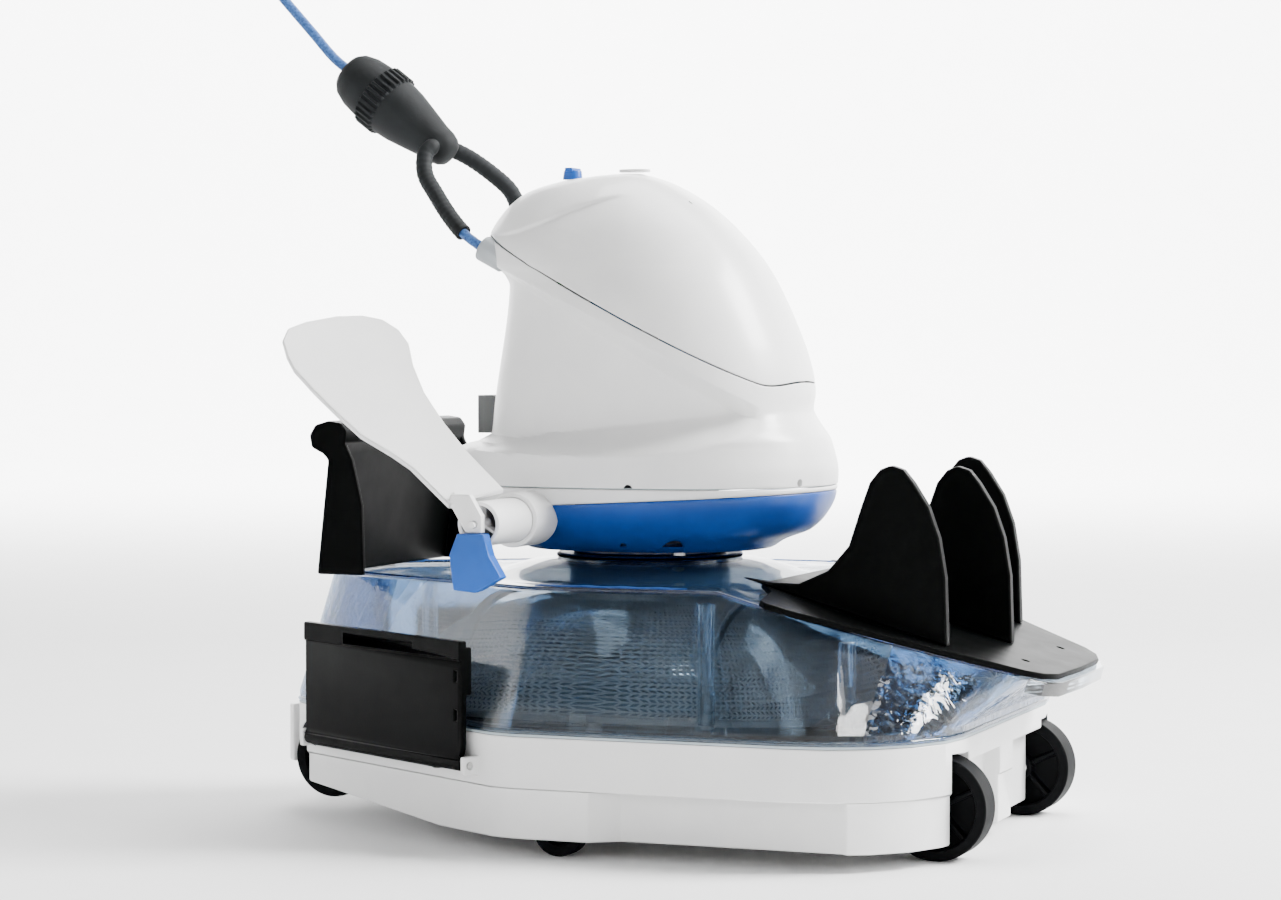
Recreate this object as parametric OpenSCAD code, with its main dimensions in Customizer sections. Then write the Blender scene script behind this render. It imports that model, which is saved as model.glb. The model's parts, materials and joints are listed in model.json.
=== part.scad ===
// Cordless robotic pool cleaner: a wheeled white hull under a clear lid, a swivelling
// motor head with a side jet and a steering paddle, a tail plate with three fins,
// and a lifting rope with a float. X runs from nose to tail, Z is up.

/* [Hull] */
// Length of the hull at the seam
hull_l = 353; // [330:1:370]
// Width of the hull at the seam
hull_w = 282; // [268:1:296]
// Height of the seam between hull and lid
seam_z = 55; // [54:0.5:58]
// Wall thickness of the hull
hull_wall = 2.6; // [2:0.1:3.2]
// Depth of the scooped side grips
scoop_d = 10; // [6:0.5:10]

/* [Wheels] */
// Diameter of the tail wheels
tail_wheel_d = 48; // [44:1:50]
// Width of each tail wheel (mm)
tail_wheel_w = 17; // [12:0.5:20]
// Diameter of the middle rollers
mid_roller_d = 24; // [20:1:26]
// Diameter of the nose wheels
nose_wheel_d = 40; // [36:1:41]
// Diameter of the wheel axles
axle_d = 5; // [4:0.5:6]
// Radial running gap of everything that turns on a pin
run_gap = 0.05; // [0.02:0.01:0.1]

/* [Lid] */
// Height of the flat top of the lid
lid_top = 121; // [116:1:123]
// Rise of the roof's middle up to the swivel
lid_crown = 8; // [2:0.5:9]
// Wall thickness of the lid
lid_wall = 2.4; // [1.6:0.1:3]
// Slope of the tail plate, degrees
plate_slope = 16.5; // [14:0.5:18]
// Thickness of each fin
fin_t = 6.5; // [4:0.5:8]
// Distance between neighbouring fins
fin_pitch = 67; // [60:1:70]
// Width of the carrying handle
handle_w = 144; // [120:1:150]

/* [Filter] */
// Length of the filter basket
basket_l = 236; // [200:1:240]
// Width of the filter basket
basket_w = 184; // [160:1:186]
// Thickness of the perforated wall
mesh_t = 1.2; // [0.8:0.1:1.6]

/* [Head] */
// Outer radius of the turning neck
neck_r = 30; // [28:0.5:31]
// Wall thickness of the head's shells
head_wall = 2.6; // [2:0.1:3.2]
// Height of the top of the head
head_top = 317; // [305:1:325]
// Outer radius of the jet nozzle
nozzle_r = 10.5; // [9:0.5:11]
// Thickness of the steering paddle
paddle_t = 3; // [2:0.25:3.5]

/* [Rope] */
// Diameter of the rope
rope_d = 5; // [4:0.5:6]
// Diameter of the rope sleeves
sleeve_d = 8.4; // [7:0.2:9]

/* [Hidden] */
$fn = 48;
eps = 0.01;
fx = hull_l / 353;               // plan scale along the hull
fy = hull_w / 282;               // plan scale across the hull
mid_x = -19 * fx;                // the origin is under the middle of the whole length
tail_x = 181 * fx;
nose_x = -172 * fx;
side_y = 141 * fy;
corner_r = 65;
floor_z = 12;
floor_t = 3;
rise_x = -62 * fx;
tail_axle = [170 * fx, 78 * fy, tail_wheel_d / 2];
tail_arch_w = tail_wheel_w + 4;
mid_axle = [6 * fx, 129 * fy, mid_roller_d / 2];
nose_axle = [-149 * fx, 44 * fy, 9 + nose_wheel_d / 2];
chamfer_from = [-22 * fx, side_y];
chamfer_to = [-165 * fx, 52 * fy];
chamfer_l = norm(chamfer_to - chamfer_from);
chamfer_a = atan2(chamfer_to[1] - chamfer_from[1], chamfer_to[0] - chamfer_from[0]);
plate_at = [95 * fx, 0, lid_top - 3];
visor_x = 220 * fx;
head_z = 134;                    // underside of the blue tray
collar_t = 2.4;                  // swivel collar's flange
flange_z = lid_top + lid_crown + collar_t + run_gap;
head_seam = 165;
basket_x = 5;
basket_z = 60;
basket_h = 52;
nozzle_x = -35;
nozzle_z = 150.6;
nozzle_end = 130;
foot_reach = 28;
eyelet_at = [-68, 34, 277];
battery_z = 196;
float_low = [-109, 0, 330];
float_high = [-165, 0, 373];
float_l = norm(float_high - float_low);
float_tilt = -atan2(float_low[0] - float_high[0], float_high[2] - float_low[2]);

// Places every module, which is drawn about the swivel axis
module place() {
    translate([mid_x, 0, 0]) children();
}

module both_sides() {
    children();
    mirror([0, 1, 0]) children();
}

function arc(cx, cy, r, a0, a1, n) = [for (i = [0:n]) let (a = a0 + (a1 - a0) * i / n)
    [cx + r * cos(a), cy + r * sin(a)]];
function mirrored(half) = concat(half, [for (i = [len(half) - 2:-1:1]) [half[i][0], -half[i][1]]]);

// Half of the hull's plan at the seam, from tail to nose, and the lid's top edge point for point
hull_half = concat([[181, 0], [181, 28], [181, 52]], arc(116, 76, corner_r, 0, 90, 5),
    [[90, 141], [40, 141], [-14, 141], [-26, 138], [-95, 95.6], [-160, 55], [-170, 46], [-172, 34], [-172, 0]]);
lid_half = [[206, 0], [206, 28], [206, 50], [203, 60], [192, 68], [174, 77], [154, 87], [134, 95],
    [118, 101], [95, 110], [40, 114], [-14, 114], [-22, 112], [-86, 78], [-147, 44], [-157, 36],
    [-160, 26], [-160, 0]];

function inset(points, d) = [for (p = points)
    [4.5 * fx + (p[0] - 4.5) * fx * (1 - d / (176 * fx)), p[1] * fy * (1 - d / side_y)]];
function hull_plan(d) = mirrored(inset(hull_half, d));
function lid_plan(d) = mirrored(inset(lid_half, d));
function tail_plane(x) = plate_at[2] - (x - plate_at[0]) * tan(plate_slope);
function on_circle(points, r) = [for (p = points) let (a = atan2(p[1], p[0])) [r * cos(a), r * sin(a)]];
function at_z(points, z) = [for (p = points) [p[0], p[1], z]];
function lid_z(x, drop) = min(lid_top, tail_plane(x) - 3.2) - drop;
function on_lid(points, drop) = [for (p = points) [p[0], p[1], lid_z(p[0], drop)]];
function blend(a, b, t) = [for (i = [0:len(a) - 1]) a[i] * (1 - t) + b[i] * t];

// Faces between stacked rings of n points, seen clockwise from outside
function wall_faces(count, n, first) = [for (r = [0:count - 2]) for (i = [0:n - 1])
    [first + r * n + i, first + (r + 1) * n + i, first + (r + 1) * n + (i + 1) % n, first + r * n + (i + 1) % n]];
function flipped(faces) = [for (f = faces) [for (i = [len(f) - 1:-1:0]) f[i]]];
function joined(rings) = [for (r = rings) for (p = r) p];

// A closed band: rings go up the outside and come down the inside
module band_loft(rings) {
    n = len(rings[0]);
    polyhedron(joined(concat(rings, [rings[0]])),
        wall_faces(len(rings) + 1, n, 0));
}

// A solid with flat ends
module solid_loft(rings) {
    n = len(rings[0]);
    last = (len(rings) - 1) * n;
    polyhedron(joined(rings), concat(wall_faces(len(rings), n, 0),
        [[for (i = [0:n - 1]) i]], [[for (i = [n - 1:-1:0]) last + i]]));
}

// A dome: an outer skin and an inner skin joined at the rim, both closed at the top
module dome_loft(outer, inner) {
    n = len(outer[0]);
    start = len(outer) * n;
    top = start - n;
    inner_top = start + (len(inner) - 1) * n;
    rim = [for (i = [0:n - 1]) [i, (i + 1) % n, start + (i + 1) % n, start + i]];
    polyhedron(joined(concat(outer, inner)), concat(wall_faces(len(outer), n, 0),
        flipped(wall_faces(len(inner), n, start)), rim,
        [[for (i = [n - 1:-1:0]) top + i]], [[for (i = [0:n - 1]) inner_top + i]]));
}

module tube(r_out, r_in, h) {
    difference() {
        cylinder(r = r_out, h = h);
        translate([0, 0, -1]) cylinder(r = r_in, h = h + 2);
    }
}

// ---- Hull ----

// The arch a wheel turns in: round above the axle and open below
module wheel_arch(axle, r, w) {
    translate([axle[0], axle[1] + w / 2, axle[2]]) rotate([90, 0, 0]) cylinder(r = r, h = w);
    translate([axle[0] - r, axle[1] - w / 2, -1]) cube([2 * r, w, axle[2] + 1]);
}

// The block of hull wall left around a wheel arch
module arch_block(axle, r, w, top) {
    translate([axle[0] - r - hull_wall, axle[1] - w / 2 - hull_wall, floor_z])
        cube([2 * (r + hull_wall), w + 2 * hull_wall, top - floor_z]);
}

module axle_bore(axle, l, r) {
    translate([axle[0], axle[1] + l / 2, axle[2]]) rotate([90, 0, 0]) cylinder(r = r, h = l);
}

module arches() {
    both_sides() {
        wheel_arch(tail_axle, tail_wheel_d / 2 + 2.4, tail_arch_w);
        wheel_arch(mid_axle, mid_roller_d / 2 + 2, 13);
        wheel_arch(nose_axle, nose_wheel_d / 2 + 2, 17);
    }
}

module arch_blocks() {
    intersection() {
        both_sides() {
            arch_block(tail_axle, tail_wheel_d / 2 + 2.4, tail_arch_w, seam_z);
            arch_block(mid_axle, mid_roller_d / 2 + 2, 13, 30);
            arch_block(nose_axle, nose_wheel_d / 2 + 2, 17, seam_z);
            intersection() {
                tail_notch(hull_wall);
                translate([0, 0, floor_z]) cube([300, 300, 100]);
            }
        }
        linear_extrude(seam_z) polygon(hull_plan(1));
    }
}

// A shallow scoop along each side, open below
module side_scoop() {
    points = [[20 * fx, side_y + 1], [36 * fx, side_y - scoop_d], [140 * fx, side_y - scoop_d],
        [158 * fx, side_y + 1]];
    translate([0, 0, -1]) linear_extrude(32) polygon(points);
}

// The underside climbs towards the nose
module tilted(z) {
    translate([rise_x, -200, z]) rotate([0, 5, 0]) translate([-200, 0, 0]) children();
}

// Shallow recesses in the tail wall beside the wheels
module tail_notch(grow) {
    translate([tail_x - 8 - grow, 12 * fy - grow, -1])
        cube([20, tail_axle[1] - 12 * fy + 2 * grow, 45 + grow]);
}

module basket_props() {
    for (p = [[5, 87], [5, -87], [-111, 0], [121, 0]]) translate([p[0] * fx, p[1] * fy, floor_z])
        cylinder(r = 4, h = basket_z - 3 - floor_z);
}

// Ears that carry a latch pin, in the chamfer's own frame
module on_chamfer() {
    translate([chamfer_from[0], chamfer_from[1], 0]) rotate([0, 0, chamfer_a]) children();
}

latch_l = chamfer_l - 31;
latch_from = 18;
latch_pin = [0, -4.2, 40];

module latch_ears() {
    on_chamfer() for (t = [latch_from - 4, latch_from + latch_l + 0.5])
        difference() {
            translate([t, -7.4, 35.5]) cube([3.5, 8, 8.5]);
            translate([t - 1, latch_pin[1], latch_pin[2]]) rotate([0, 90, 0]) cylinder(r = 1.5, h = 6);
        }
}

module lower_hull() {
    color("white") place() {
        difference() {
            union() {
                translate([0, 0, 31]) linear_extrude(seam_z - 31) polygon(hull_plan(0));
                translate([0, 0, 8]) linear_extrude(23) polygon(hull_plan(1));
            }
            difference() {
                union() {
                    translate([0, 0, 34]) linear_extrude(40) polygon(hull_plan(hull_wall));
                    translate([0, 0, floor_z + floor_t]) linear_extrude(40)
                        polygon(hull_plan(scoop_d + 1 + hull_wall));
                    translate([0, 0, -1]) linear_extrude(floor_z + 1) polygon(hull_plan(scoop_d + 1 + hull_wall));
                }
                intersection() {
                    translate([rise_x, -200, floor_z]) cube([300, 400, floor_t]);
                    linear_extrude(50) polygon(hull_plan(4));
                }
                intersection() {
                    tilted(floor_z) cube([200.3, 400, floor_t]);
                    linear_extrude(50) polygon(hull_plan(4));
                }
                arch_blocks();
            }
            arches();
            both_sides() side_scoop();
            tilted(8) translate([0, 0, -30]) cube([200, 400, 30]);
            both_sides() tail_notch(0);
            both_sides() {
                axle_bore(tail_axle, tail_arch_w + 8, axle_d / 2);
                axle_bore(mid_axle, 18, axle_d / 2);
                axle_bore(nose_axle, 24, axle_d / 2);
            }
            translate([-40, -62, floor_z - 1]) cube([120, 124, floor_t + 2]);
            screw_spots() translate([0, 0, floor_z - 1]) cylinder(r = 2, h = floor_t + 2);
        }
        both_sides() latch_ears();
        basket_props();
    }
}

module screw_spots() {
    for (x = [-48, 88]) for (y = [-52, 52]) translate([x, y, 0]) children();
}

// The plate under the hull that the pump draws through
module suction_plate() {
    color([0.2, 0.22, 0.24]) place() difference() {
        union() {
            translate([-39.5, -61.5, floor_z]) cube([119, 123, floor_t]);
            translate([-56, -60, floor_z + floor_t]) cube([152, 120, 2]);
            for (y = [-16, 14]) translate([-26, y, floor_z + floor_t + 2]) difference() {
                cube([8, 2, 8]);
                translate([4, -1, 4]) rotate([-90, 0, 0]) cylinder(r = 1, h = 4);
            }
        }
        translate([-20, -36, floor_z - 1]) cube([60, 72, floor_t + 4]);
        screw_spots() translate([0, 0, floor_z]) cylinder(r = 2, h = 10);
    }
}

module hull_screws() {
    color("silver") place() screw_spots() translate([0, 0, floor_z - 2]) {
        cylinder(r = 3.6, h = 2);
        cylinder(r = 2, h = 7);
    }
}

// A one-way flap over the inlet, hinged along its nose edge
module inlet_flap() {
    color([0.15, 0.16, 0.18]) place() difference() {
        union() {
            translate([-17.6, -38, floor_z + floor_t + 2.2]) cube([60, 76, 1.4]);
            translate([-22, -13.5, floor_z + floor_t + 6]) rotate([-90, 0, 0]) cylinder(r = 2.2, h = 27);
            translate([-22, -13.5, floor_z + floor_t + 4]) cube([5, 27, 3]);
            translate([-20, -13.5, floor_z + floor_t + 2.4]) cube([4, 27, 4]);
        }
        translate([-22, -20, floor_z + floor_t + 6]) rotate([-90, 0, 0]) cylinder(r = 1 + run_gap, h = 40);
    }
}

module flap_pin() {
    color("silver") place() translate([-22, -16, floor_z + floor_t + 6]) rotate([-90, 0, 0])
        cylinder(r = 1, h = 32);
}

module ballast() {
    color("gray") place() for (y = [-104, 70]) translate([40, y, floor_z + floor_t]) cube([80, 34, 12]);
}

module seal_ring() {
    color([0.72, 0.76, 0.78]) place() difference() {
        translate([0, 0, seam_z]) linear_extrude(1) polygon(hull_plan(0));
        translate([0, 0, seam_z - 1]) linear_extrude(3) polygon(hull_plan(2.4));
    }
}

module nose_bumper() {
    w = 44 * fy;
    color("white") place() translate([nose_x, 0, 24]) linear_extrude(29)
        polygon([[-1.2, -30 * fy], [-4, -w + 4], [-9, -w + 9], [-10, -w + 14], [-10, w - 14], [-9, w - 9],
            [-4, w - 4], [-1.2, 30 * fy], [-0.02, 20 * fy], [-0.02, -20 * fy]]);
}

// ---- Wheels ----

// A wheel with a raised rim, a thin web with ribs on both sides, and a hub bore
module wheel(d, w, ribs) {
    difference() {
        union() {
            tube(d / 2, d / 2 - 5, w);
            translate([0, 0, w * 0.4]) cylinder(r = d / 2 - 4, h = w * 0.2);
            cylinder(r = axle_d / 2 + 3, h = w);
            if (ribs > 0) for (i = [0:ribs - 1]) rotate([0, 0, i * 360 / ribs + 25])
                translate([0, -1.2, w * 0.14]) cube([d / 2 - 4, 2.4, w * 0.72]);
        }
        translate([0, 0, -1]) cylinder(r = axle_d / 2 + run_gap, h = w + 2);
    }
}

module wheel_at(axle, side, d, w, ribs) {
    color([0.14, 0.15, 0.15]) place() translate([axle[0], side * axle[1] + w / 2, axle[2]])
        rotate([90, 0, 0]) wheel(d, w, ribs);
}

module tail_wheel_near() {
    wheel_at(tail_axle, -1, tail_wheel_d, tail_wheel_w, 5);
}

module tail_wheel_far() {
    wheel_at(tail_axle, 1, tail_wheel_d, tail_wheel_w, 5);
}

module mid_roller_near() {
    wheel_at(mid_axle, -1, mid_roller_d, 10, 0);
}

module mid_roller_far() {
    wheel_at(mid_axle, 1, mid_roller_d, 10, 0);
}

module nose_wheel_near() {
    wheel_at(nose_axle, -1, nose_wheel_d, 14, 5);
}

module nose_wheel_far() {
    wheel_at(nose_axle, 1, nose_wheel_d, 14, 5);
}

module tail_axles() {
    color("silver") place() both_sides() axle_bore(tail_axle, tail_arch_w + 4, axle_d / 2);
}

module mid_pins() {
    color("silver") place() both_sides() axle_bore(mid_axle, 16, axle_d / 2);
}

module nose_axles() {
    color("silver") place() both_sides() axle_bore(nose_axle, 21, axle_d / 2);
}

// ---- Side latches ----

latch_outline = concat([[0, 97], [0, 52]], arc(12, 50, 12, 180, 260, 4), [[18, latch_pin[2] - 3]],
    [[latch_l - 8, latch_pin[2] - 3]], arc(latch_l - 8, latch_pin[2] + 5, 8, 280, 360, 4), [[latch_l, 97]]);

// A latch panel with a finger groove along its top and a bead that turns on the pin
module latch_panel() {
    on_chamfer() difference() {
        union() {
            translate([latch_from, -3.2, 0]) rotate([90, 0, 0]) linear_extrude(3.2) polygon(latch_outline);
            translate([latch_from, latch_pin[1], latch_pin[2]]) rotate([0, 90, 0]) cylinder(r = 3.2, h = latch_l);
            translate([latch_from, -7.4, 88]) cube([latch_l, 1.5, 9]);
            for (t = [latch_from, latch_from + latch_l - 3]) translate([t, -4, 72]) cube([3, 3.6, 22]);
        }
        translate([latch_from - 1, latch_pin[1], latch_pin[2]]) rotate([0, 90, 0])
            cylinder(r = 1.5 + run_gap, h = latch_l + 2);
        translate([latch_from + 40, -8, 89.5]) cube([60, 2.6, 4]);
        translate([latch_from + 4, -8, 60]) cube([2, 10, 5]);
        translate([latch_from + 4, -8, 78]) cube([2, 10, 5]);
    }
}

module latch_near() {
    color([0.09, 0.1, 0.11]) place() mirror([0, 1, 0]) latch_panel();
}

module latch_far() {
    color([0.09, 0.1, 0.11]) place() latch_panel();
}

module latch_pins() {
    color("silver") place() both_sides() on_chamfer()
        translate([latch_from - 4, latch_pin[1], latch_pin[2]]) rotate([0, 90, 0])
            cylinder(r = 1.5, h = latch_l + 8);
}

// ---- Lid ----

module lid_shell() {
    neck = on_circle(lid_plan(0), 44.5);
    hole = on_circle(lid_plan(0), 42);
    wide = blend(lid_plan(0), on_circle(lid_plan(0), 60), 0.35);
    foot = on_circle(lid_plan(0), 78);
    close = on_circle(lid_plan(0), 60);
    base = seam_z + 1;
    color([0.55, 0.72, 0.85, 0.4]) place() band_loft([
        at_z(hull_plan(0), base), at_z(hull_plan(0), base + 5), on_lid(lid_plan(1.5), 1.5),
        on_lid(lid_plan(3.5), 0), on_lid(wide, 0), on_lid(foot, 0), on_lid(close, -lid_crown * 0.75),
        on_lid(neck, -lid_crown), on_lid(hole, -lid_crown), on_lid(hole, lid_wall - lid_crown),
        on_lid(neck, lid_wall - lid_crown), on_lid(close, lid_wall - lid_crown * 0.75),
        on_lid(foot, lid_wall), on_lid(wide, lid_wall),
        on_lid(lid_plan(6), lid_wall), at_z(hull_plan(lid_wall + 0.6), base + 5),
        at_z(hull_plan(lid_wall), base)]);
}

post_spots = [[66, 101], [126, 78], [-132, 28]];

module lid_posts() {
    color([0.6, 0.75, 0.85, 0.5]) place() both_sides() for (p = post_spots) translate([p[0] * fx, p[1] * fy, 0])
        translate([0, 0, seam_z + 4]) tube(4, 1.8, lid_z(p[0] * fx + 8, lid_wall + 4) - seam_z - 4);
}

module lid_screws() {
    color("silver") place() both_sides() for (p = post_spots) translate([p[0] * fx, p[1] * fy, seam_z + 2]) {
        cylinder(r = 3.5, h = 2 - eps);
        cylinder(r = 1.8, h = 20);
    }
}

module on_plate() {
    translate(plate_at) rotate([0, plate_slope, 0]) children();
}

module tail_plate() {
    back = (217 * fx - plate_at[0]) / cos(plate_slope);
    half = [[back, 0], [back - 1, 40 * fy], [back - 5, 52 * fy], [back - 12, 60 * fy], [16, 112 * fy],
        [4, 114 * fy], [0, 110 * fy], [-6, 78 * fy], [-16, 62 * fy], [-16, 0]];
    color([0.1, 0.1, 0.11]) place() on_plate() difference() {
        translate([0, 0, -3]) linear_extrude(3) polygon(mirrored(half));
        for (y = [-34, 34]) for (x = [60, 108]) translate([x, y, -4]) cylinder(r = 1.8, h = 5);
    }
}

module tail_visor() {
    back = (visor_x - plate_at[0]) / cos(plate_slope);
    half = [[back, 0], [back - 1, 42 * fy], [back - 6, 56 * fy], [back - 13, 62 * fy], [back - 14, 0]];
    color([0.6, 0.75, 0.88, 0.5]) place() intersection() {
        on_plate() translate([0, 0, -10]) linear_extrude(7 - eps) polygon(mirrored(half));
        translate([0, -150, 0]) cube([visor_x, 300, 200]);
    }
}

// Side view of a fin: a long low toe, a swept front, a round top and a steep back
function fin_outline(shift, grow) = [for (p = [[72, 0], [86, 4], [100, 9], [114, 21], [124, 36], [130, 55],
    [134, 66], [139, 72], [144, 74], [150, 72], [155, 66], [162, 55], [167, 41], [170, 26], [171, 0]])
    [(p[0] + shift) * fx, p[1] * grow]];

module fin(y, shift, grow) {
    root_z = lid_top - 17 - shift * 0.3;
    top = [for (p = fin_outline(shift, grow)) [p[0], max(tail_plane(p[0]) + eps,
        root_z + p[1] + max(0, 1 - p[1] / 40) * (tail_plane(p[0]) - root_z))]];
    base = [[171 + shift, 0], [72 + shift, 0]];
    color([0.06, 0.07, 0.08]) place() translate([0, y + fin_t / 2, 0]) rotate([90, 0, 0])
        linear_extrude(fin_t) polygon(concat([for (p = top) p],
            [for (p = base) [p[0] * fx, tail_plane(p[0] * fx) + eps / 2]]));
}

module fin_near() {
    fin(-fin_pitch * fy, 0, 1);
}

module fin_middle() {
    fin(0, 13, 1.02);
}

module fin_far() {
    fin(fin_pitch * fy, 0, 1);
}

// The carrying handle: a leaning board with cheeks and a rolled lip to hook the fingers under
module carry_handle() {
    board = [[-147, 0], [-142, 0], [-138, 30], [-135, 58], [-132, 64], [-131, 70], [-134, 74], [-141, 75],
        [-148, 73], [-151, 68], [-150, 62], [-144, 59], [-141, 56]];
    cheek = [[-147, 0], [-122, 0], [-123, 34], [-128, 56], [-132, 64], [-141, 56]];
    color([0.08, 0.09, 0.1]) place() translate([0, 0, lid_top + eps]) {
        translate([0, handle_w / 2, 0]) rotate([90, 0, 0]) linear_extrude(handle_w)
            polygon([for (p = board) [p[0] * fx, p[1]]]);
        for (y = [-handle_w / 2 + 4, handle_w / 2]) translate([0, y, 0]) rotate([90, 0, 0])
            linear_extrude(4) polygon([for (p = cheek) [p[0] * fx, p[1]]]);
    }
}

module swivel_collar() {
    color([0.05, 0.09, 0.2]) place() difference() {
        union() {
            translate([0, 0, lid_top + lid_crown + eps]) cylinder(r = 46, h = collar_t);
            translate([0, 0, lid_top - 9]) cylinder(r = 39.8, h = lid_crown + 10);
        }
        translate([0, 0, lid_top - 10]) cylinder(r = neck_r + 3, h = lid_crown + 20);
    }
}

module swivel_bearing() {
    color("ivory") place() translate([0, 0, lid_top - 7]) tube(neck_r + 3, neck_r + run_gap, 9);
}

// ---- Filter basket ----

function super(a, b, e, n) = [for (i = [0:n - 1]) let (t = i * 360 / n, c = cos(t), s = sin(t))
    [a * sign(c) * pow(abs(c), 2 / e), b * sign(s) * pow(abs(s), 2 / e)]];
function moved(points, x) = [for (p = points) [p[0] + x, p[1]]];
function vault(tilt, d) = at_z(moved(super((basket_l / 2 - d) * pow(cos(tilt), 0.6) * fx,
    (basket_w / 2 - d) * pow(cos(tilt), 0.6) * fy, 3.2, 48), basket_x * fx),
    basket_z + (basket_h - d) * sin(tilt));
vault_tilts = [0, 20, 38, 52, 64, 74];

module filter_mesh() {
    hole_in = at_z(super(44, 44, 2, 48), basket_z + basket_h);
    hole_out = at_z(super(44, 44, 2, 48), basket_z + basket_h - mesh_t);
    color([0.42, 0.46, 0.48]) place() band_loft(concat([for (t = vault_tilts) vault(t, 0)],
        [hole_in, hole_out], [for (i = [len(vault_tilts) - 1:-1:0]) vault(vault_tilts[i], mesh_t)]));
}

// One arched rib across the basket
module rib(x, d) {
    reach = pow(1 - pow(abs(x - basket_x) / (basket_l / 2 + 4), 3.2), 1 / 3.2);
    outer = [for (t = [-90:10:90]) [(basket_w / 2 * fy + 3.4) * reach * sign(t) * pow(abs(sin(t)), 0.6),
        (basket_h + 3) * pow(abs(cos(t)), 0.8)]];
    inner = [for (p = outer) [p[0] * 0.978, p[1] * 0.955]];
    translate([x * fx, 0, basket_z - 1]) rotate([90, 0, 90]) linear_extrude(d)
        polygon(concat(outer, [for (i = [len(inner) - 1:-1:0]) inner[i]]));
}

module filter_frame() {
    foot = super((basket_l / 2 + 4) * fx, (basket_w / 2 + 4) * fy, 3.2, 48);
    inner = super((basket_l / 2 - 6) * fx, (basket_w / 2 - 6) * fy, 3.2, 48);
    color([0.5, 0.53, 0.55]) place() {
        difference() {
            translate([basket_x * fx, 0, basket_z - 3]) linear_extrude(3 - eps) polygon(foot);
            translate([basket_x * fx, 0, basket_z - 4]) linear_extrude(5) polygon(inner);
        }
        difference() {
            for (x = [-66, 58]) rib(x, 5);
            translate([0, 0, basket_z]) cylinder(r = 50, h = 80);
        }
        translate([0, 0, basket_z + basket_h + eps]) difference() {
            union() {
                cylinder(r = 50, h = 2);
                translate([-66 * fx, -3, 0]) cube([129 * fx, 6, 2]);
            }
            translate([0, 0, -1]) cylinder(r = 44, h = 5);
        }
    }
}

// ---- Head ----

left_x = [[134, -58], [138, -66], [143, -76], [151, -86], [159, -92], [165, -95], [180, -97], [184, -92],
    [188, -80], [205, -78], [262, -71], [268, -74], [272, -79], [281, -82], [287, -80], [293, -77], [301, -71], [308, -62],
    [313, -47], [316, -27], [317, -16]];
right_x = [[134, 60], [138, 66], [143, 79], [151, 87], [159, 91], [165, 92], [172, 92.5], [180, 91],
    [188, 88], [195, 83], [202, 79.5], [210, 80.5], [216, 80], [228, 77], [240, 72.5], [256, 65.5], [272, 57],
    [288, 44], [300, 31], [308, 19], [313, 9], [316, 0], [317, -4]];
half_y = [[134, 52], [138, 58], [143, 63], [151, 68], [159, 71], [165, 72], [180, 71], [195, 69], [210, 68],
    [225, 67], [240, 65], [256, 61.5], [272, 56], [288, 48.5], [300, 39.5], [308, 31], [313, 23], [316, 15], [317, 8]];
recess_y = [[180, 71], [188, 54], [230, 50], [317, 50]];
head_stretch = (head_top - head_z) / (317 - 134);

// The head's surface at direction t and height z; d insets it
function head_point(t, z, d, widths) = let (zz = head_z + (z - head_z) / head_stretch,
    l = lookup(zz, left_x), r = lookup(zz, right_x), c = cos(t), s = sin(t))
    [(l + r) / 2 + ((r - l) / 2 - d) * sign(c) * pow(abs(c), 0.82),
        (lookup(zz, widths) - d) * sign(s) * pow(abs(s), 0.82), z];
function head_ring(z, d) = [for (i = [0:head_n - 1]) head_point(i * 360 / head_n, z, d, half_y)];
head_n = 40;

// The slanted split between housing and cover
function split(x) = head_z + (250 - 0.505 * x - 134) * head_stretch;
function split_z(t, z, left) = left == 0 ? z
    : split_z(t, split(head_point(t, z, 0, half_y)[0]), left - 1);
function split_at(t) = split_z(t, 240, 8);
function split_ring(drop, d) = [for (i = [0:head_n - 1]) let (t = i * 360 / head_n)
    head_point(t, split_at(t) - drop, d, half_y)];
function recess_ring(drop, low, d) = [for (i = [0:head_n - 1]) let (t = i * 360 / head_n)
    head_point(t, max(low, split_at(t) - drop), d, recess_y)];
function band_ring(drop, low, d) = [for (i = [0:head_n - 1]) let (t = i * 360 / head_n)
    head_point(t, max(low, split_at(t) - drop), d, half_y)];
function cover_ring(f, d) = [for (i = [0:head_n - 1]) let (t = i * 360 / head_n, z = split_at(t))
    head_point(t, z + 0.3 + (head_top - d - z) * f, d, half_y)];
cover_steps = [0, 0.22, 0.42, 0.6, 0.76, 0.88, 0.96, 0.995];

module head_cover() {
    color("white") place() dome_loft([for (f = cover_steps) cover_ring(f, 0)],
        [for (f = cover_steps) cover_ring(f, head_wall)]);
}

module head_housing() {
    color("white") place() band_loft([
        head_ring(head_seam + 0.4, 0), head_ring(180, 0), recess_ring(500, 188, 0), recess_ring(22, 190, 0),
        band_ring(7, 193, 0), split_ring(0.3, 0), split_ring(0.3, head_wall),
        band_ring(7, 193, head_wall), recess_ring(22, 190, head_wall), recess_ring(500, 188, head_wall),
        head_ring(180, head_wall), head_ring(head_seam + 0.4, head_wall)]);
}

// The lower edge of the white band climbs from back to front
function band_z(x) = 158 + 0.05 * x;
function sloped_ring(drop, d) = [for (p = head_ring(158, d)) [p[0], p[1], band_z(p[0]) - drop]];

module head_band() {
    color("white") place() difference() {
        band_loft([sloped_ring(0, 0), head_ring(head_seam, 0), head_ring(head_seam, head_wall),
            sloped_ring(0, head_wall)]);
        nozzle_way(nozzle_r + 3);
    }
}

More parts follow.
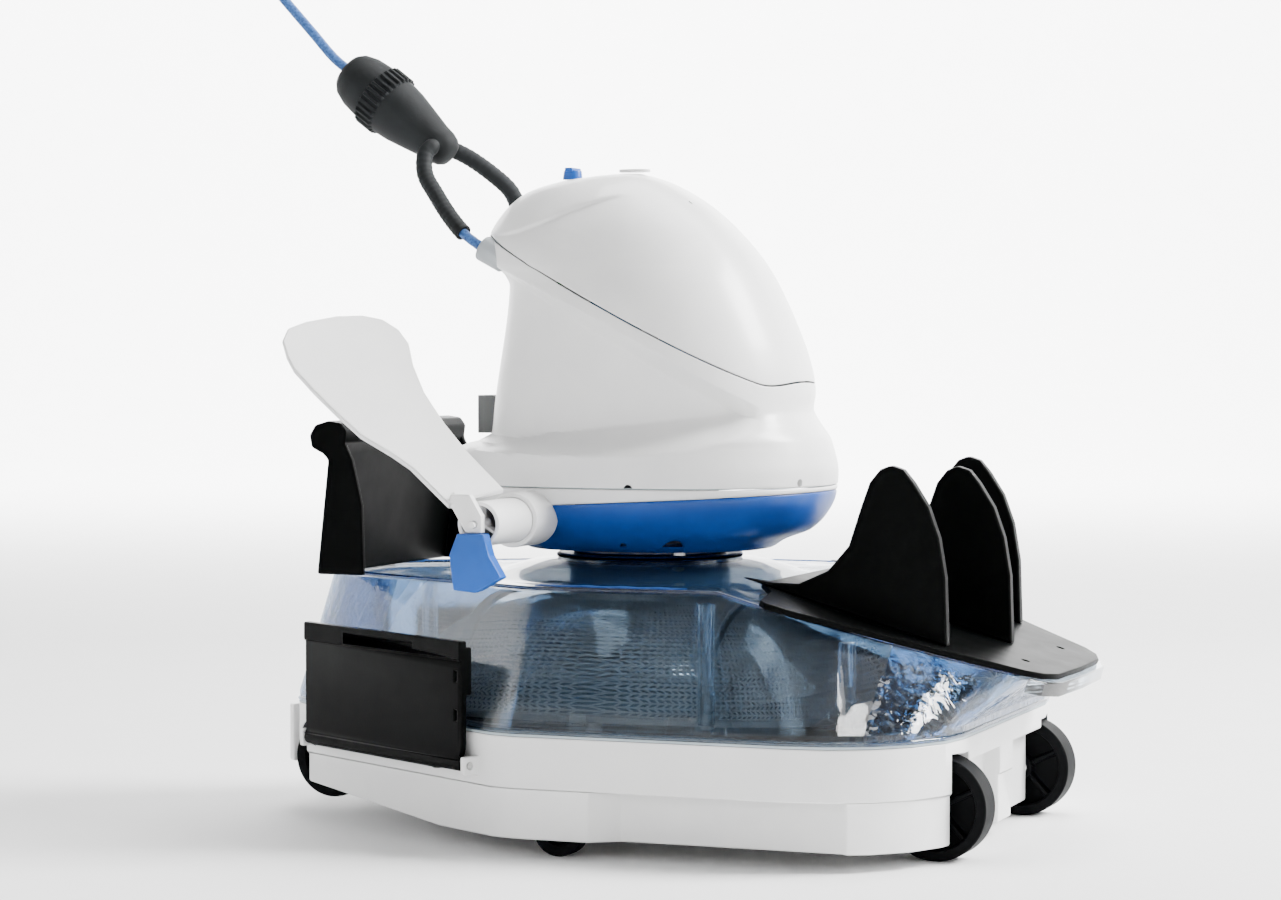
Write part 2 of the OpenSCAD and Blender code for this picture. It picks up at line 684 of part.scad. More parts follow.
module head_tray() {
    color([0.07, 0.27, 0.5]) place() difference() {
        solid_loft([head_ring(head_z, 0), head_ring(138, 0), head_ring(143, 0), head_ring(151, 0),
            sloped_ring(0.2, 0.4)]);
        solid_tray_room();
        translate([0, 0, head_z - 1]) cylinder(r = neck_r - 6, h = 10);
        nozzle_way(nozzle_r + 3);
        for (p = head_screw_spots) translate([p[0], p[1], head_z - 1]) cylinder(r = 1.6, h = 6);
    }
}

module solid_tray_room() {
    solid_loft([head_ring(137, head_wall + 1), head_ring(143, head_wall), head_ring(151, head_wall),
        head_ring(167, head_wall)]);
}

module nozzle_way(r) {
    translate([nozzle_x, 0, nozzle_z]) rotate([90, 0, 0]) cylinder(r = r, h = 120);
}

module head_seal() {
    color([0.3, 0.32, 0.34]) place() band_loft([
        head_ring(head_seam + eps, 1), head_ring(head_seam + 0.39, 1), head_ring(head_seam + 0.39, 2.2),
        head_ring(head_seam + eps, 2.2)]);
}

head_screw_spots = [[30, 40], [30, -40], [-30, 40], [-50, 0]];

module head_screws() {
    color("silver") place() for (p = head_screw_spots)
        translate([p[0], p[1], head_z - 1.6]) {
            cylinder(r = 3, h = 1.6);
            cylinder(r = 1.6, h = 3);
        }
}

module neck_spigot() {
    color([0.05, 0.1, 0.2]) place() difference() {
        union() {
            translate([0, 0, lid_top - 12]) cylinder(r = neck_r, h = head_z - lid_top + 12);
            translate([0, 0, flange_z]) cylinder(r = neck_r + 8, h = head_z - flange_z);
        }
        translate([0, 0, lid_top - 13]) cylinder(r = neck_r - 6, h = 50);
    }
}

module nozzle_pipe() {
    color("white") place() translate([nozzle_x, -nozzle_end, nozzle_z]) rotate([-90, 0, 0])
        tube(nozzle_r, nozzle_r - 2, nozzle_end - 34);
}

module nozzle_collar() {
    color("white") place() translate([nozzle_x, -91, nozzle_z]) rotate([-90, 0, 0])
        tube(nozzle_r + 2.5, nozzle_r, 26);
}

// A hub on three vanes inside the mouth; its pin carries the paddle
module nozzle_spider() {
    color("white") place() translate([nozzle_x, -nozzle_end + 0.4, nozzle_z]) rotate([-90, 0, 0]) {
        cylinder(r = 3, h = 8);
        for (a = [30, 150, 270]) rotate([0, 0, a]) translate([0, -0.6, 2]) cube([nozzle_r - 2.02, 1.2, 6]);
        translate([0, 0, -8.4]) cylinder(r = 1.5, h = 9);
    }
}

module pump_volute() {
    color([0.3, 0.33, 0.36]) place() difference() {
        union() {
            translate([0, 0, 137]) cylinder(r = 34, h = 26);
            translate([nozzle_x, 0, nozzle_z]) rotate([90, 0, 0]) cylinder(r = nozzle_r, h = 33.9);
        }
        translate([0, 0, 139.5]) cylinder(r = 31, h = 21);
        translate([0, 0, 130]) cylinder(r = neck_r - 6, h = 12);
        translate([0, 0, 155]) cylinder(r = 5.5, h = 20);
        translate([nozzle_x, 12, nozzle_z]) rotate([90, 0, 0]) cylinder(r = nozzle_r - 2, h = 60);
    }
}

module impeller() {
    color([0.85, 0.45, 0.1]) place() difference() {
        union() {
            translate([0, 0, 157]) cylinder(r = 22, h = 2);
            translate([0, 0, 145]) cylinder(r = 5.5, h = 13);
            for (i = [0:5]) rotate([0, 0, i * 60]) translate([4, -0.8, 145]) cube([18, 1.6, 13]);
        }
        translate([0, 0, 140]) cylinder(r = 2.5, h = 30);
    }
}

module motor_shaft() {
    color("silver") place() translate([0, 0, 145]) cylinder(r = 2.5, h = 57);
}

module motor() {
    color([0.35, 0.36, 0.38]) place() translate([0, 0, 166]) difference() {
        union() {
            cylinder(r = 18, h = 24);
            translate([0, 0, -3]) cylinder(r = 24, h = 3);
        }
        translate([0, 0, -4]) cylinder(r = 2.5 + run_gap, h = 24);
        translate([0, 0, 14]) cylinder(r = 4, h = 8);
        translate([0, 0, 20]) cylinder(r = 2.5 + run_gap, h = 10);
        translate([0, 0, -4]) cylinder(r = 5.5, h = 5);
    }
}

module shaft_seal() {
    color("black") place() translate([0, 0, 160]) tube(5.5, 2.5 + run_gap, 6);
}

module battery_pack() {
    color([0.2, 0.35, 0.6]) place() {
        for (x = [-34, 12]) for (y = [-22, 22]) translate([x + 11, y, battery_z + 8])
            cylinder(r = 9.4, h = 50);
        translate([-36, -34, battery_z + 7.5]) cube([72, 68, 0.5]);
    }
}

module control_board() {
    color("green") place() {
        translate([-44, -30, 262]) cube([60, 60, 1.6]);
        translate([-30, -15, 263.6]) cube([18, 18, 3]);
        translate([-6, -20, 263.6]) cube([8, 30, 8]);
    }
}

module socket_cap() {
    color([0.4, 0.4, 0.4]) place() for (i = [0:3])
        translate([-91 + i * 0.6, -4 + i * 5, 189]) cube([9, 3.6, 19]);
    color([0.4, 0.4, 0.4]) place() translate([-86, -4, 190]) cube([4.5, 18, 17]);
}

module rope_eyelets() {
    color([0.6, 0.6, 0.62]) place() both_sides() translate(eyelet_at) rotate([0, -62, 0])
        translate([0, 0, -6]) tube(6.4, rope_d / 2 + 1, 14);
}

// ---- Controls ----

module switch_knob() {
    color([0.12, 0.4, 0.7]) place() translate([-41, 0, head_top - 2.1]) difference() {
        union() {
            cylinder(r1 = 5, r2 = 4.4, h = 4.6);
            translate([-2, -6, 4]) cube([4, 12, 1.8]);
        }
        translate([0, 0, -1]) cylinder(r = 1.5, h = 3);
    }
}

module start_button() {
    color("white") place() translate([-8, 0, head_top + 1]) linear_extrude(1.4)
        polygon(super(8, 4.5, 2.2, 24));
}

// ---- Steering paddle ----

// The blade's outline in its own plane: a narrow root at the jet and a broad round tip
blade_outline = [[-16, 0], [-10, 1], [13, -1], [9, 26], [8, 46], [9, 67], [13, 85], [18, 98], [18, 108],
    [14, 117], [6, 123], [-6, 127], [-22, 129], [-32, 128], [-38, 122], [-41, 112], [-42, 103], [-40, 87],
    [-37, 71], [-33, 54], [-25, 38], [-21, 28], [-18, 12]];

module paddle() {
    color("white") place() {
        translate([-38, -123, 161.4]) rotate([44, -15, 52]) linear_extrude(paddle_t) polygon(blade_outline);
        translate([nozzle_x, -131, nozzle_z]) rotate([90, 0, 0]) difference() {
            hull() {
                translate([-4, -4, 0]) cube([8, 8, 4.6]);
                translate([-12, 9, 0]) cube([10, 5, 4.6]);
            }
            translate([0, 0, -1]) cylinder(r = 1.5 + run_gap, h = 8);
        }
    }
}

module paddle_foot() {
    color([0.13, 0.4, 0.7]) place() translate([nozzle_x, -131, nozzle_z]) rotate([90, 0, 0])
        linear_extrude(7.5) polygon([[-7, -4.1], [6, -4.1], [9, -14], [15, -24], [2, -foot_reach - 3],
            [-9, -foot_reach - 2], [-11, -14]]);
}

// ---- Rope, sleeves and float ----

// Points along the near and far legs of the loop
loop_points = [[-73, -34, 279.7], [-77, -34, 282], [-86, -32, 288], [-96, -27, 297], [-106, -21, 308],
    [-114, -16, 318], [-116, -12, 328], [-113.5, -8, 332.6], [-113, 0, 333], [-112, 8, 332.6], [-104, 15, 328],
    [-94, 21, 320], [-86, 27, 311], [-83, 31, 300], [-82, 33, 290],
    [-77, 34, 282], [-73, 34, 279.7]];
lead_points = [[-160, 0, 370], [-172, 0, 379], [-184, 0, 392], [-196, 0, 405], [-206, 0, 416]];

// A direction that no stretch of rope runs along
rope_side = [0.75, 0.1, 0.66];

// Catmull-Rom point between p1 and p2
function curve(p0, p1, p2, p3, t) = 0.5 * (2 * p1 + (p2 - p0) * t + (2 * p0 - 5 * p1 + 4 * p2 - p3) * t * t
    + (3 * p1 - p0 - 3 * p2 + p3) * t * t * t);
function route(pts, steps) = let (last = len(pts) - 1) concat([for (i = [0:last - 1]) for (s = [0:steps - 1])
    curve(pts[max(i - 1, 0)], pts[i], pts[i + 1], pts[min(i + 2, last)], s / steps)], [pts[last]]);
function unit(v) = v / norm(v);
function tangent(pts, i) = unit(pts[min(i + 1, len(pts) - 1)] - pts[max(i - 1, 0)]);
function circle_at(p, t, r, n) = let (u = unit(cross(t, rope_side)), v = cross(t, u))
    [for (k = [0:n - 1]) p + r * (cos(k * 360 / n) * u + sin(k * 360 / n) * v)];

module swept(pts, d) {
    solid_loft([for (i = [0:len(pts) - 1]) circle_at(pts[i], tangent(pts, i), d / 2, 8)]);
}

module loop_rope() {
    color([0.17, 0.36, 0.63]) place() swept(route(loop_points, 3), rope_d);
}

// Hollow sleeves that slide over each leg of the loop
module hollow_swept(pts, d, bore) {
    out = [for (i = [0:len(pts) - 1]) circle_at(pts[i], tangent(pts, i), d / 2, 8)];
    inner = [for (i = [len(pts) - 1:-1:0]) circle_at(pts[i], tangent(pts, i), bore / 2, 8)];
    band_loft(concat(out, inner));
}

module loop_sleeves() {
    all_points = route(loop_points, 3);
    color([0.2, 0.22, 0.24]) place() {
        hollow_swept([for (i = [6:18]) all_points[i]], sleeve_d, rope_d + 0.8);
        hollow_swept([for (i = [30:42]) all_points[i]], sleeve_d, rope_d + 0.8);
    }
}

// The float: a torpedo with a ribbed waist, bored for the lead rope and cross-bored for the loop
module float_body() {
    profile = [[0, -3], [6, -2], [9, 2], [9.8, 9], [12, 18], [15, 30], [15.5, 38], [15.5, 50], [14.5, 60],
        [12, 67], [9, 69.5], [0, 70]];
    color([0.21, 0.23, 0.25]) place() translate(float_low) rotate([0, float_tilt, 0]) difference() {
        union() {
            rotate_extrude() polygon(profile);
            for (i = [0:17]) rotate([0, 0, i * 20]) translate([15, -0.9, 39]) cube([1.6, 1.8, 10]);
        }
        translate([0, 0, 52]) cylinder(r = rope_d / 2 + 0.8, h = 30);
        translate([0, 0, 5.5]) rotate([90, 0, 0]) cylinder(r = rope_d / 2 + 2.5, h = 40, center = true);
    }
}

module lead_rope() {
    knot = lead_points[len(lead_points) - 1];
    color([0.17, 0.36, 0.63]) place() {
        swept(route(lead_points, 3), rope_d);
        translate(knot + [-2, 0, 2.4]) sphere(r = rope_d * 1.15, $fn = 24);
    }
}

lower_hull();
suction_plate();
ballast();
seal_ring();
nose_bumper();
hull_screws();
tail_wheel_near();
tail_wheel_far();
tail_axles();
mid_roller_near();
mid_roller_far();
mid_pins();
nose_wheel_near();
nose_wheel_far();
nose_axles();
latch_near();
latch_far();
latch_pins();
inlet_flap();
flap_pin();
lid_shell();
lid_posts();
lid_screws();
tail_visor();
tail_plate();
fin_near();
fin_middle();
fin_far();
carry_handle();
swivel_collar();
swivel_bearing();
filter_frame();
filter_mesh();
neck_spigot();
head_tray();
head_band();
head_housing();
head_cover();
head_seal();
head_screws();
nozzle_pipe();
nozzle_collar();
nozzle_spider();
pump_volute();
impeller();
motor_shaft();
motor();
shaft_seal();
battery_pack();
control_board();
socket_cap();
rope_eyelets();
switch_knob();
start_button();
paddle();
paddle_foot();
loop_rope();
loop_sleeves();
float_body();
lead_rope();
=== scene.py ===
# %% [markdown]
# A cordless pool cleaner, dressed for a studio picture.
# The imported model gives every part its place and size, in metres, with +X towards the tail
# fins and +Z up. This lesson adds the finish of each part, and rebuilds the moulded shells
# with more detail than a machine model needs.

# %% Load the frame
import json
import math
import bmesh
import bpy
from mathutils import Matrix, Vector


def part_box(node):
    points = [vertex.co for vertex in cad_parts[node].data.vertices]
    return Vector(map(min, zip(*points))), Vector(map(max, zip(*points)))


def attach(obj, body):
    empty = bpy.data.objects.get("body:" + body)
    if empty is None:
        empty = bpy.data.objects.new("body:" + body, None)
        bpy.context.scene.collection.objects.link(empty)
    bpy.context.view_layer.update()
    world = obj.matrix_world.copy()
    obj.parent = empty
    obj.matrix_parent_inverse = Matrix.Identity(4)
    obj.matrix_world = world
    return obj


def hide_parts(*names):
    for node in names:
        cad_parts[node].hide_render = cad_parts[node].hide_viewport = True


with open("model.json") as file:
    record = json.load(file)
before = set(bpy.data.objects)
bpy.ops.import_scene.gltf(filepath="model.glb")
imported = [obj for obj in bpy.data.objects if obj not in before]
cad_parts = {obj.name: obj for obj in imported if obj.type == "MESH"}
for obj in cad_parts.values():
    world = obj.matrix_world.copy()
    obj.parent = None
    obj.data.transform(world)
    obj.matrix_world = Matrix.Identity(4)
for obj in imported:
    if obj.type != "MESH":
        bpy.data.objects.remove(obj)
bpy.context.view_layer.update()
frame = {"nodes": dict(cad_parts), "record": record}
nodes = frame["nodes"]
print("parts in the frame:", len(nodes))

# %% [markdown]
# Lengths in a drawing of this size are easiest in millimetres, and Blender works in metres.
# The swivel's axis is the centre line of the head, so the head's own numbers are counted
# from it, and its place comes from the bearing in the model.

# %% Units and the swivel's axis
MM = 0.001
bearing_low, bearing_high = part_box("swivel_bearing")
SWIVEL_X = (bearing_low.x + bearing_high.x) / 2


def at(x, y, z):
    """A point counted in millimetres from the swivel's axis, in metres of the frame."""
    return Vector((SWIVEL_X + x * MM, y * MM, z * MM))


print("swivel axis at x =", round(SWIVEL_X, 4))

# %% [markdown]
# Paint charts and screens give colours as sRGB hex values, but a shader adds up light, which
# is linear. One function turns the first into the second, so every colour below can be read
# off a chart.

# %% Colour and node helpers
def colour(hex_value, alpha=1.0):
    """Linear RGBA from an sRGB hex string."""
    parts = [int(hex_value[i:i + 2], 16) / 255 for i in (1, 3, 5)]
    linear = [c / 12.92 if c <= 0.04045 else ((c + 0.055) / 1.055) ** 2.4 for c in parts]
    return (*linear, alpha)


def add_node(tree, kind, settings=None, links=None):
    """Adds a node, sets its properties and sockets, and links other sockets into it."""
    node = tree.nodes.new(kind)
    for key, value in (settings or {}).items():
        if isinstance(key, int) or key in node.inputs:
            node.inputs[key].default_value = value
        else:
            setattr(node, key, value)
    for key, source in (links or {}).items():
        tree.links.new(source, node.inputs[key])
    return node


def new_material(name, settings):
    """A material with one Principled shader, and the coordinates that its patterns use."""
    material = bpy.data.materials.new(name)
    material.use_nodes = True
    tree = material.node_tree
    shader = tree.nodes["Principled BSDF"]
    for key, value in settings.items():
        shader.inputs[key].default_value = value
    place = add_node(tree, "ShaderNodeTexCoord").outputs["Object"]
    return material, tree, shader, place


def per_metre(size_mm):
    """A noise scale that makes features of about this size."""
    return 1 / (size_mm * MM)


# %% [markdown]
# Most of this cleaner is injection moulded. A moulded skin is never one flat colour: the
# melt leaves faint clouds, the tool leaves a grain, and hands leave smoother and duller
# spots. Three noises do that, each with a size in millimetres. A real grain is about 0.1 mm,
# too fine to show at this distance, so it is drawn at 0.7 mm or more.

# %% Moulded plastic
def moulded(name, base, cloud, roughness, grain_mm, grain_depth_mm, ior=1.53, coat=0.0,
            shine=0.5):
    """A moulded plastic: cloudy colour, uneven gloss and a fine grain in its skin."""
    material, tree, shader, place = new_material(
        name, {"IOR": ior, "Metallic": 0.0, "Coat Weight": coat, "Coat Roughness": 0.12,
               "Specular IOR Level": shine})
    clouds = add_node(tree, "ShaderNodeTexNoise",
                      {"Scale": per_metre(38), "Detail": 3.0, "Roughness": 0.55}, {"Vector": place})
    tint = add_node(tree, "ShaderNodeValToRGB", links={"Fac": clouds.outputs["Fac"]})
    tint.color_ramp.elements[0].position = 0.3
    tint.color_ramp.elements[0].color = colour(cloud)
    tint.color_ramp.elements[1].position = 0.62
    tint.color_ramp.elements[1].color = colour(base)
    tree.links.new(tint.outputs["Color"], shader.inputs["Base Color"])
    handled = add_node(tree, "ShaderNodeTexNoise",
                       {"Scale": per_metre(14), "Detail": 4.0}, {"Vector": place})
    gloss = add_node(tree, "ShaderNodeMapRange",
                     {"To Min": roughness - 0.06, "To Max": roughness + 0.08},
                     {"Value": handled.outputs["Fac"]})
    tree.links.new(gloss.outputs["Result"], shader.inputs["Roughness"])
    grain = add_node(tree, "ShaderNodeTexNoise",
                     {"Scale": per_metre(grain_mm), "Detail": 2.0}, {"Vector": place})
    bump = add_node(tree, "ShaderNodeBump",
                    {"Strength": 0.55, "Distance": grain_depth_mm * MM}, {"Height": grain.outputs["Fac"]})
    tree.links.new(bump.outputs["Normal"], shader.inputs["Normal"])
    return material


# White ABS with a satin polish: clean, milky, with a soft highlight.
white_abs = moulded("white_satin_abs", "#f4f4f3", "#eeeeee", 0.32, 2.2, 0.02, coat=0.1)
# Black ABS from a grained tool: a broad dull highlight that never mirrors.
black_abs = moulded("black_grained_abs", "#050606", "#030404", 0.40, 0.9, 0.05, shine=0.03)
# The same black on the wheels, where rolling over tile has dulled it.
wheel_abs = moulded("black_scuffed_wheel_abs", "#0b0c0e", "#070809", 0.52, 0.8, 0.06, shine=0.04)
# Navy ABS with a high polish around the swivel.
navy_abs = moulded("navy_polished_abs", "#0c2a66", "#08204e", 0.22, 3.0, 0.01)
# Mid blue ABS of the head's tray.
tray_abs = moulded("blue_satin_abs", "#0b4aa0", "#093f8c", 0.36, 1.6, 0.03, shine=0.35)
# Brighter blue ABS of the knob and the paddle's foot.
bright_abs = moulded("bright_blue_satin_abs", "#0d57b4", "#0b4da0", 0.34, 1.4, 0.03, shine=0.35)
# Grey ABS of frames and rings.
grey_abs = moulded("grey_satin_abs", "#b3b9bd", "#a4aaae", 0.40, 1.0, 0.04)
# Darker grey polypropylene of the socket's cap, softer and duller than ABS.
cap_pp = moulded("grey_polypropylene", "#6a6c6c", "#5e6060", 0.50, 1.0, 0.04, ior=1.49)
# Sheet of the filter's vault, grey polypropylene.
filter_pp = moulded("filter_grey_polypropylene", "#c3c9cd", "#b4bbc0", 0.45, 0.9, 0.04, ior=1.49)
# Acetal of the swivel's bearing, waxy and ivory.
acetal = moulded("ivory_acetal", "#e2dcc8", "#d8d0b8", 0.32, 1.2, 0.02, ior=1.48)
# Orange nylon of the impeller.
nylon = moulded("orange_nylon", "#cf6a1c", "#bf5c14", 0.38, 1.1, 0.03)
# Shrink sleeve round the cells.
shrink_sleeve = moulded("blue_shrink_sleeve", "#2a5a90", "#234e80", 0.35, 1.8, 0.05, ior=1.54)
# Solder mask of the board.
solder_mask = moulded("green_solder_mask", "#1c6a34", "#155428", 0.28, 1.2, 0.02, ior=1.55)
# Pale elastomer of the lid's seal: it scatters light a little and has no sharp highlight.
seal_tpe = moulded("pale_blue_seal_elastomer", "#b4c0c6", "#a8b4ba", 0.55, 1.0, 0.03, ior=1.5)
# Closed cell foam of the float and the sleeves: dark, dry, with open pores at its skin.
float_foam = moulded("dark_closed_cell_foam", "#1d2022", "#161819", 0.66, 1.1, 0.12, shine=0.2)
print("moulded finishes:", len(bpy.data.materials))

# %% [markdown]
# The lid is clear polycarbonate with a smoky blue tint. A real tint deepens with thickness,
# and here each of the two skins of the wall filters the light once. A solid pane would also
# shade all that lies inside, so `body` lets part of the light pass straight through. Flow
# marks make the reflections crinkle, most of all near the ends, so a long slow wave is put in
# the surface. The index 1.585 is polycarbonate's own, which gives the bright edges.

# %% Clear polycarbonate
def clear_sheet(name, tint, roughness, wave_mm, wave_depth_mm, body=1.0, clear=1.0, shine=0.5):
    """A clear tinted plastic with flow marks in its skin."""
    material, tree, shader, place = new_material(name, {
        "Base Color": colour(tint), "IOR": 1.585, "Transmission Weight": clear, "Roughness": roughness,
        "Alpha": body, "Specular IOR Level": shine})
    flow = add_node(tree, "ShaderNodeTexNoise",
                    {"Scale": per_metre(wave_mm), "Detail": 1.5, "Distortion": 0.8}, {"Vector": place})
    bump = add_node(tree, "ShaderNodeBump",
                    {"Strength": 0.5, "Distance": wave_depth_mm * MM}, {"Height": flow.outputs["Fac"]})
    tree.links.new(bump.outputs["Normal"], shader.inputs["Normal"])
    return material


lid_clear = clear_sheet("smoke_blue_polycarbonate", "#7396b8", 0.02, 26, 0.3, body=0.42)
# Ribs moulded inside the two ends break what lies behind them into slivers of light.
# The ends' darker tint is painted shade that damps their bright crinkles.
end_painted_shade_clear = clear_sheet("ribbed_end_polycarbonate_painted_shade", "#3f6798", 0.03, 7, 1.2, body=0.8)
# Seen almost edge on, the roof looks through a long way of tinted plastic and turns deep.
# That deep tone is painted shade: the roof gets a darker copy that passes and mirrors less light.
roof_painted_shade_clear = clear_sheet("smoke_blue_roof_painted_shade", "#213850", 0.06, 26, 0.3, body=0.7, clear=0.3, shine=0.1)
# Posts and the foot bead are untinted. The roof's edge bead is a rounded edge whose deep blue
# is painted shade, standing in for the blue that a long path through the edge gathers.
post_clear = clear_sheet("clear_polycarbonate_post", "#c9d9e6", 0.05, 8, 0.1)
edge_painted_shade_clear = clear_sheet("deep_blue_edge_painted_shade", "#2f5c9e", 0.08, 12, 0.1)
print("clear finishes:", lid_clear.name, post_clear.name, edge_painted_shade_clear.name)

# %% [markdown]
# Screws and pins are turned from bright bar, which leaves rings too fine to count and pulls
# the highlight into a streak. The ballast is cast iron under thin paint, and the motor's can
# is plated steel. A metal keeps the shader's usual index: its colour does the work.

# %% Metals
def bar_metal(name, base, dark, roughness, mark_mm, depth_mm):
    """A metal whose surface carries the marks of how it was made."""
    material, tree, shader, place = new_material(name, {"Metallic": 1.0})
    marks = add_node(tree, "ShaderNodeTexNoise",
                     {"Scale": per_metre(mark_mm), "Detail": 5.0, "Roughness": 0.6}, {"Vector": place})
    tone = add_node(tree, "ShaderNodeValToRGB", links={"Fac": marks.outputs["Fac"]})
    tone.color_ramp.elements[0].position = 0.35
    tone.color_ramp.elements[0].color = colour(dark)
    tone.color_ramp.elements[1].position = 0.6
    tone.color_ramp.elements[1].color = colour(base)
    tree.links.new(tone.outputs["Color"], shader.inputs["Base Color"])
    worn = add_node(tree, "ShaderNodeMapRange",
                    {"To Min": roughness - 0.05, "To Max": roughness + 0.1},
                    {"Value": marks.outputs["Fac"]})
    tree.links.new(worn.outputs["Result"], shader.inputs["Roughness"])
    bump = add_node(tree, "ShaderNodeBump",
                    {"Strength": 0.5, "Distance": depth_mm * MM}, {"Height": marks.outputs["Fac"]})
    tree.links.new(bump.outputs["Normal"], shader.inputs["Normal"])
    return material


turned_steel = bar_metal("turned_stainless_steel", "#c9c9c7", "#a9a9a8", 0.28, 0.8, 0.01)
plated_can = bar_metal("zinc_plated_steel", "#9b9fa3", "#868a8e", 0.35, 2.5, 0.01)
cast_iron = bar_metal("painted_cast_iron", "#5a5b5c", "#434445", 0.62, 1.6, 0.12)
print("metals:", turned_steel.name, plated_can.name, cast_iron.name)

# %% [markdown]
# The camera stands low, level with the top of the head, a metre and a half away with a long
# lens, so the cleaner is drawn with almost no perspective. It tips down a little instead of
# shifting its lens.

# %% Camera
CAMERA_TURN = math.radians(21.0)
CAMERA_TIP = math.radians(1.815)
camera_data = bpy.data.cameras.new("studio_camera")
camera_data.lens = 91.3
camera_data.sensor_width = 36.0
camera_data.clip_start = 0.05
camera = bpy.data.objects.new("studio_camera", camera_data)
bpy.context.scene.collection.objects.link(camera)
camera.location = (0.550, -1.4954, 0.232)
camera.rotation_euler = (math.pi / 2 - CAMERA_TIP, 0, CAMERA_TURN)
bpy.context.scene.camera = camera
print("camera", [round(v, 3) for v in camera.location])

# %% [markdown]
# Rope, shells and rings are all the same kind of surface: a stack of closed rings with quads
# between them. One function skins them. Edges sharper than the angle stay crisp, and the
# rest is shaded smooth.

# %% Skin a stack of rings
def new_piece(name, mesh, material, body, crisp_degrees=32):
    """An object from a mesh, shaded smooth up to an angle, that moves with a body."""
    mesh.shade_smooth()
    mesh.set_sharp_from_angle(angle=math.radians(crisp_degrees))
    piece = bpy.data.objects.new(name, mesh)
    bpy.context.scene.collection.objects.link(piece)
    mesh.materials.append(material)
    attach(piece, body)
    return piece


def skin(name, rings, closed=False, caps=True):
    """A mesh through rings of points; closed joins the last ring to the first."""
    count = len(rings[0])
    mesh = bpy.data.meshes.new(name)
    points = [tuple(p) for ring in rings for p in ring]
    faces = []
    for r in range(len(rings) if closed else len(rings) - 1):
        low, high = r * count, ((r + 1) % len(rings)) * count
        faces += [(low + i, low + (i + 1) % count, high + (i + 1) % count, high + i)
                  for i in range(count)]
    if caps and not closed:
        last = (len(rings) - 1) * count
        faces += [tuple(reversed(range(count))), tuple(range(last, last + count))]
    mesh.from_pydata(points, [], faces)
    work = bmesh.new()
    work.from_mesh(mesh)
    bmesh.ops.recalc_face_normals(work, faces=work.faces)
    work.to_mesh(mesh)
    work.free()
    return mesh


def curve_point(points, t):
    """A point on the smooth curve through points, with t counted in points."""
    i = min(int(t), len(points) - 2)
    s = t - i
    a, b, c, d = (points[max(0, min(k, len(points) - 1))] for k in (i - 1, i, i + 1, i + 2))
    return 0.5 * (2 * b + (c - a) * s + (2 * a - 5 * b + 4 * c - d) * s ** 2
                  + (3 * b - a - 3 * c + d) * s ** 3)


def smooth_path(points, spacing):
    """The smooth curve through points, as points a fixed distance apart."""
    fine = [curve_point(points, k / 40) for k in range(40 * (len(points) - 1) + 1)]
    travelled = [0.0]
    for a, b in zip(fine, fine[1:]):
        travelled.append(travelled[-1] + (b - a).length)
    steps = max(2, round(travelled[-1] / spacing))
    path, k = [], 0
    for step in range(steps + 1):
        goal = travelled[-1] * step / steps
        while k < len(fine) - 2 and travelled[k + 1] < goal:
            k += 1
        share = (goal - travelled[k]) / max(1e-9, travelled[k + 1] - travelled[k])
        path.append(fine[k].lerp(fine[k + 1], min(1, share)))
    return path, travelled[-1]


def tube_rings(path, radius_at, sides):
    """Rings round a path without twist; radius_at(distance, angle) gives the radius."""
    rings, side, travelled = [], None, 0.0
    for i, point in enumerate(path):
        along = (path[min(i + 1, len(path) - 1)] - path[max(i - 1, 0)]).normalized()
        side = side or along.orthogonal()
        side = (side - along * side.dot(along)).normalized()
        across = along.cross(side)
        travelled += (point - path[i - 1]).length if i else 0
        ring = []
        for k in range(sides):
            angle = 2 * math.pi * k / sides
            radius = radius_at(travelled, angle)
            ring.append(point + (side * math.cos(angle) + across * math.sin(angle)) * radius)
        rings.append(ring)
    return rings


print("helpers ready")

# %% [markdown]
# The rope is a 5 mm braid: eight strands go round it one way and eight the other, and each
# shows as a small lozenge. The braid is real relief here: the radius rises where either set
# of strands passes. Blue polyester has a soft sheen and a few paler fibres.

# %% Braided rope
def woven_blue():
    """Braided polyester: blotchy blue with sheen and a fuzzy grain."""
    material, tree, shader, place = new_material("blue_braided_polyester", {
        "IOR": 1.5, "Roughness": 0.7, "Sheen Weight": 0.35, "Sheen Roughness": 0.4})
    fibres = add_node(tree, "ShaderNodeTexNoise",
                      {"Scale": per_metre(1.2), "Detail": 4.0}, {"Vector": place})
    tone = add_node(tree, "ShaderNodeValToRGB", links={"Fac": fibres.outputs["Fac"]})
    tone.color_ramp.elements[0].position = 0.3
    tone.color_ramp.elements[0].color = colour("#1d4178")
    tone.color_ramp.elements[1].position = 0.68
    tone.color_ramp.elements[1].color = colour("#3f72b8")
    tree.links.new(tone.outputs["Color"], shader.inputs["Base Color"])
    bump = add_node(tree, "ShaderNodeBump", {"Strength": 0.5, "Distance": 0.15 * MM},
                    {"Height": fibres.outputs["Fac"]})
    tree.links.new(bump.outputs["Normal"], shader.inputs["Normal"])
    return material


rope_blue = woven_blue()
ROPE_D = 5 * MM
BRAID_LAY = 18 * MM                  # length in which one strand goes once round


def braid_radius(distance, angle):
    """Rope radius with two crossing sets of strands."""
    turn = 2 * math.pi * distance / BRAID_LAY
    ridge = max(abs(math.sin(2 * (angle + turn))), abs(math.sin(2 * (angle - turn))))
    return ROPE_D / 2 - 0.35 * MM * (1 - ridge)


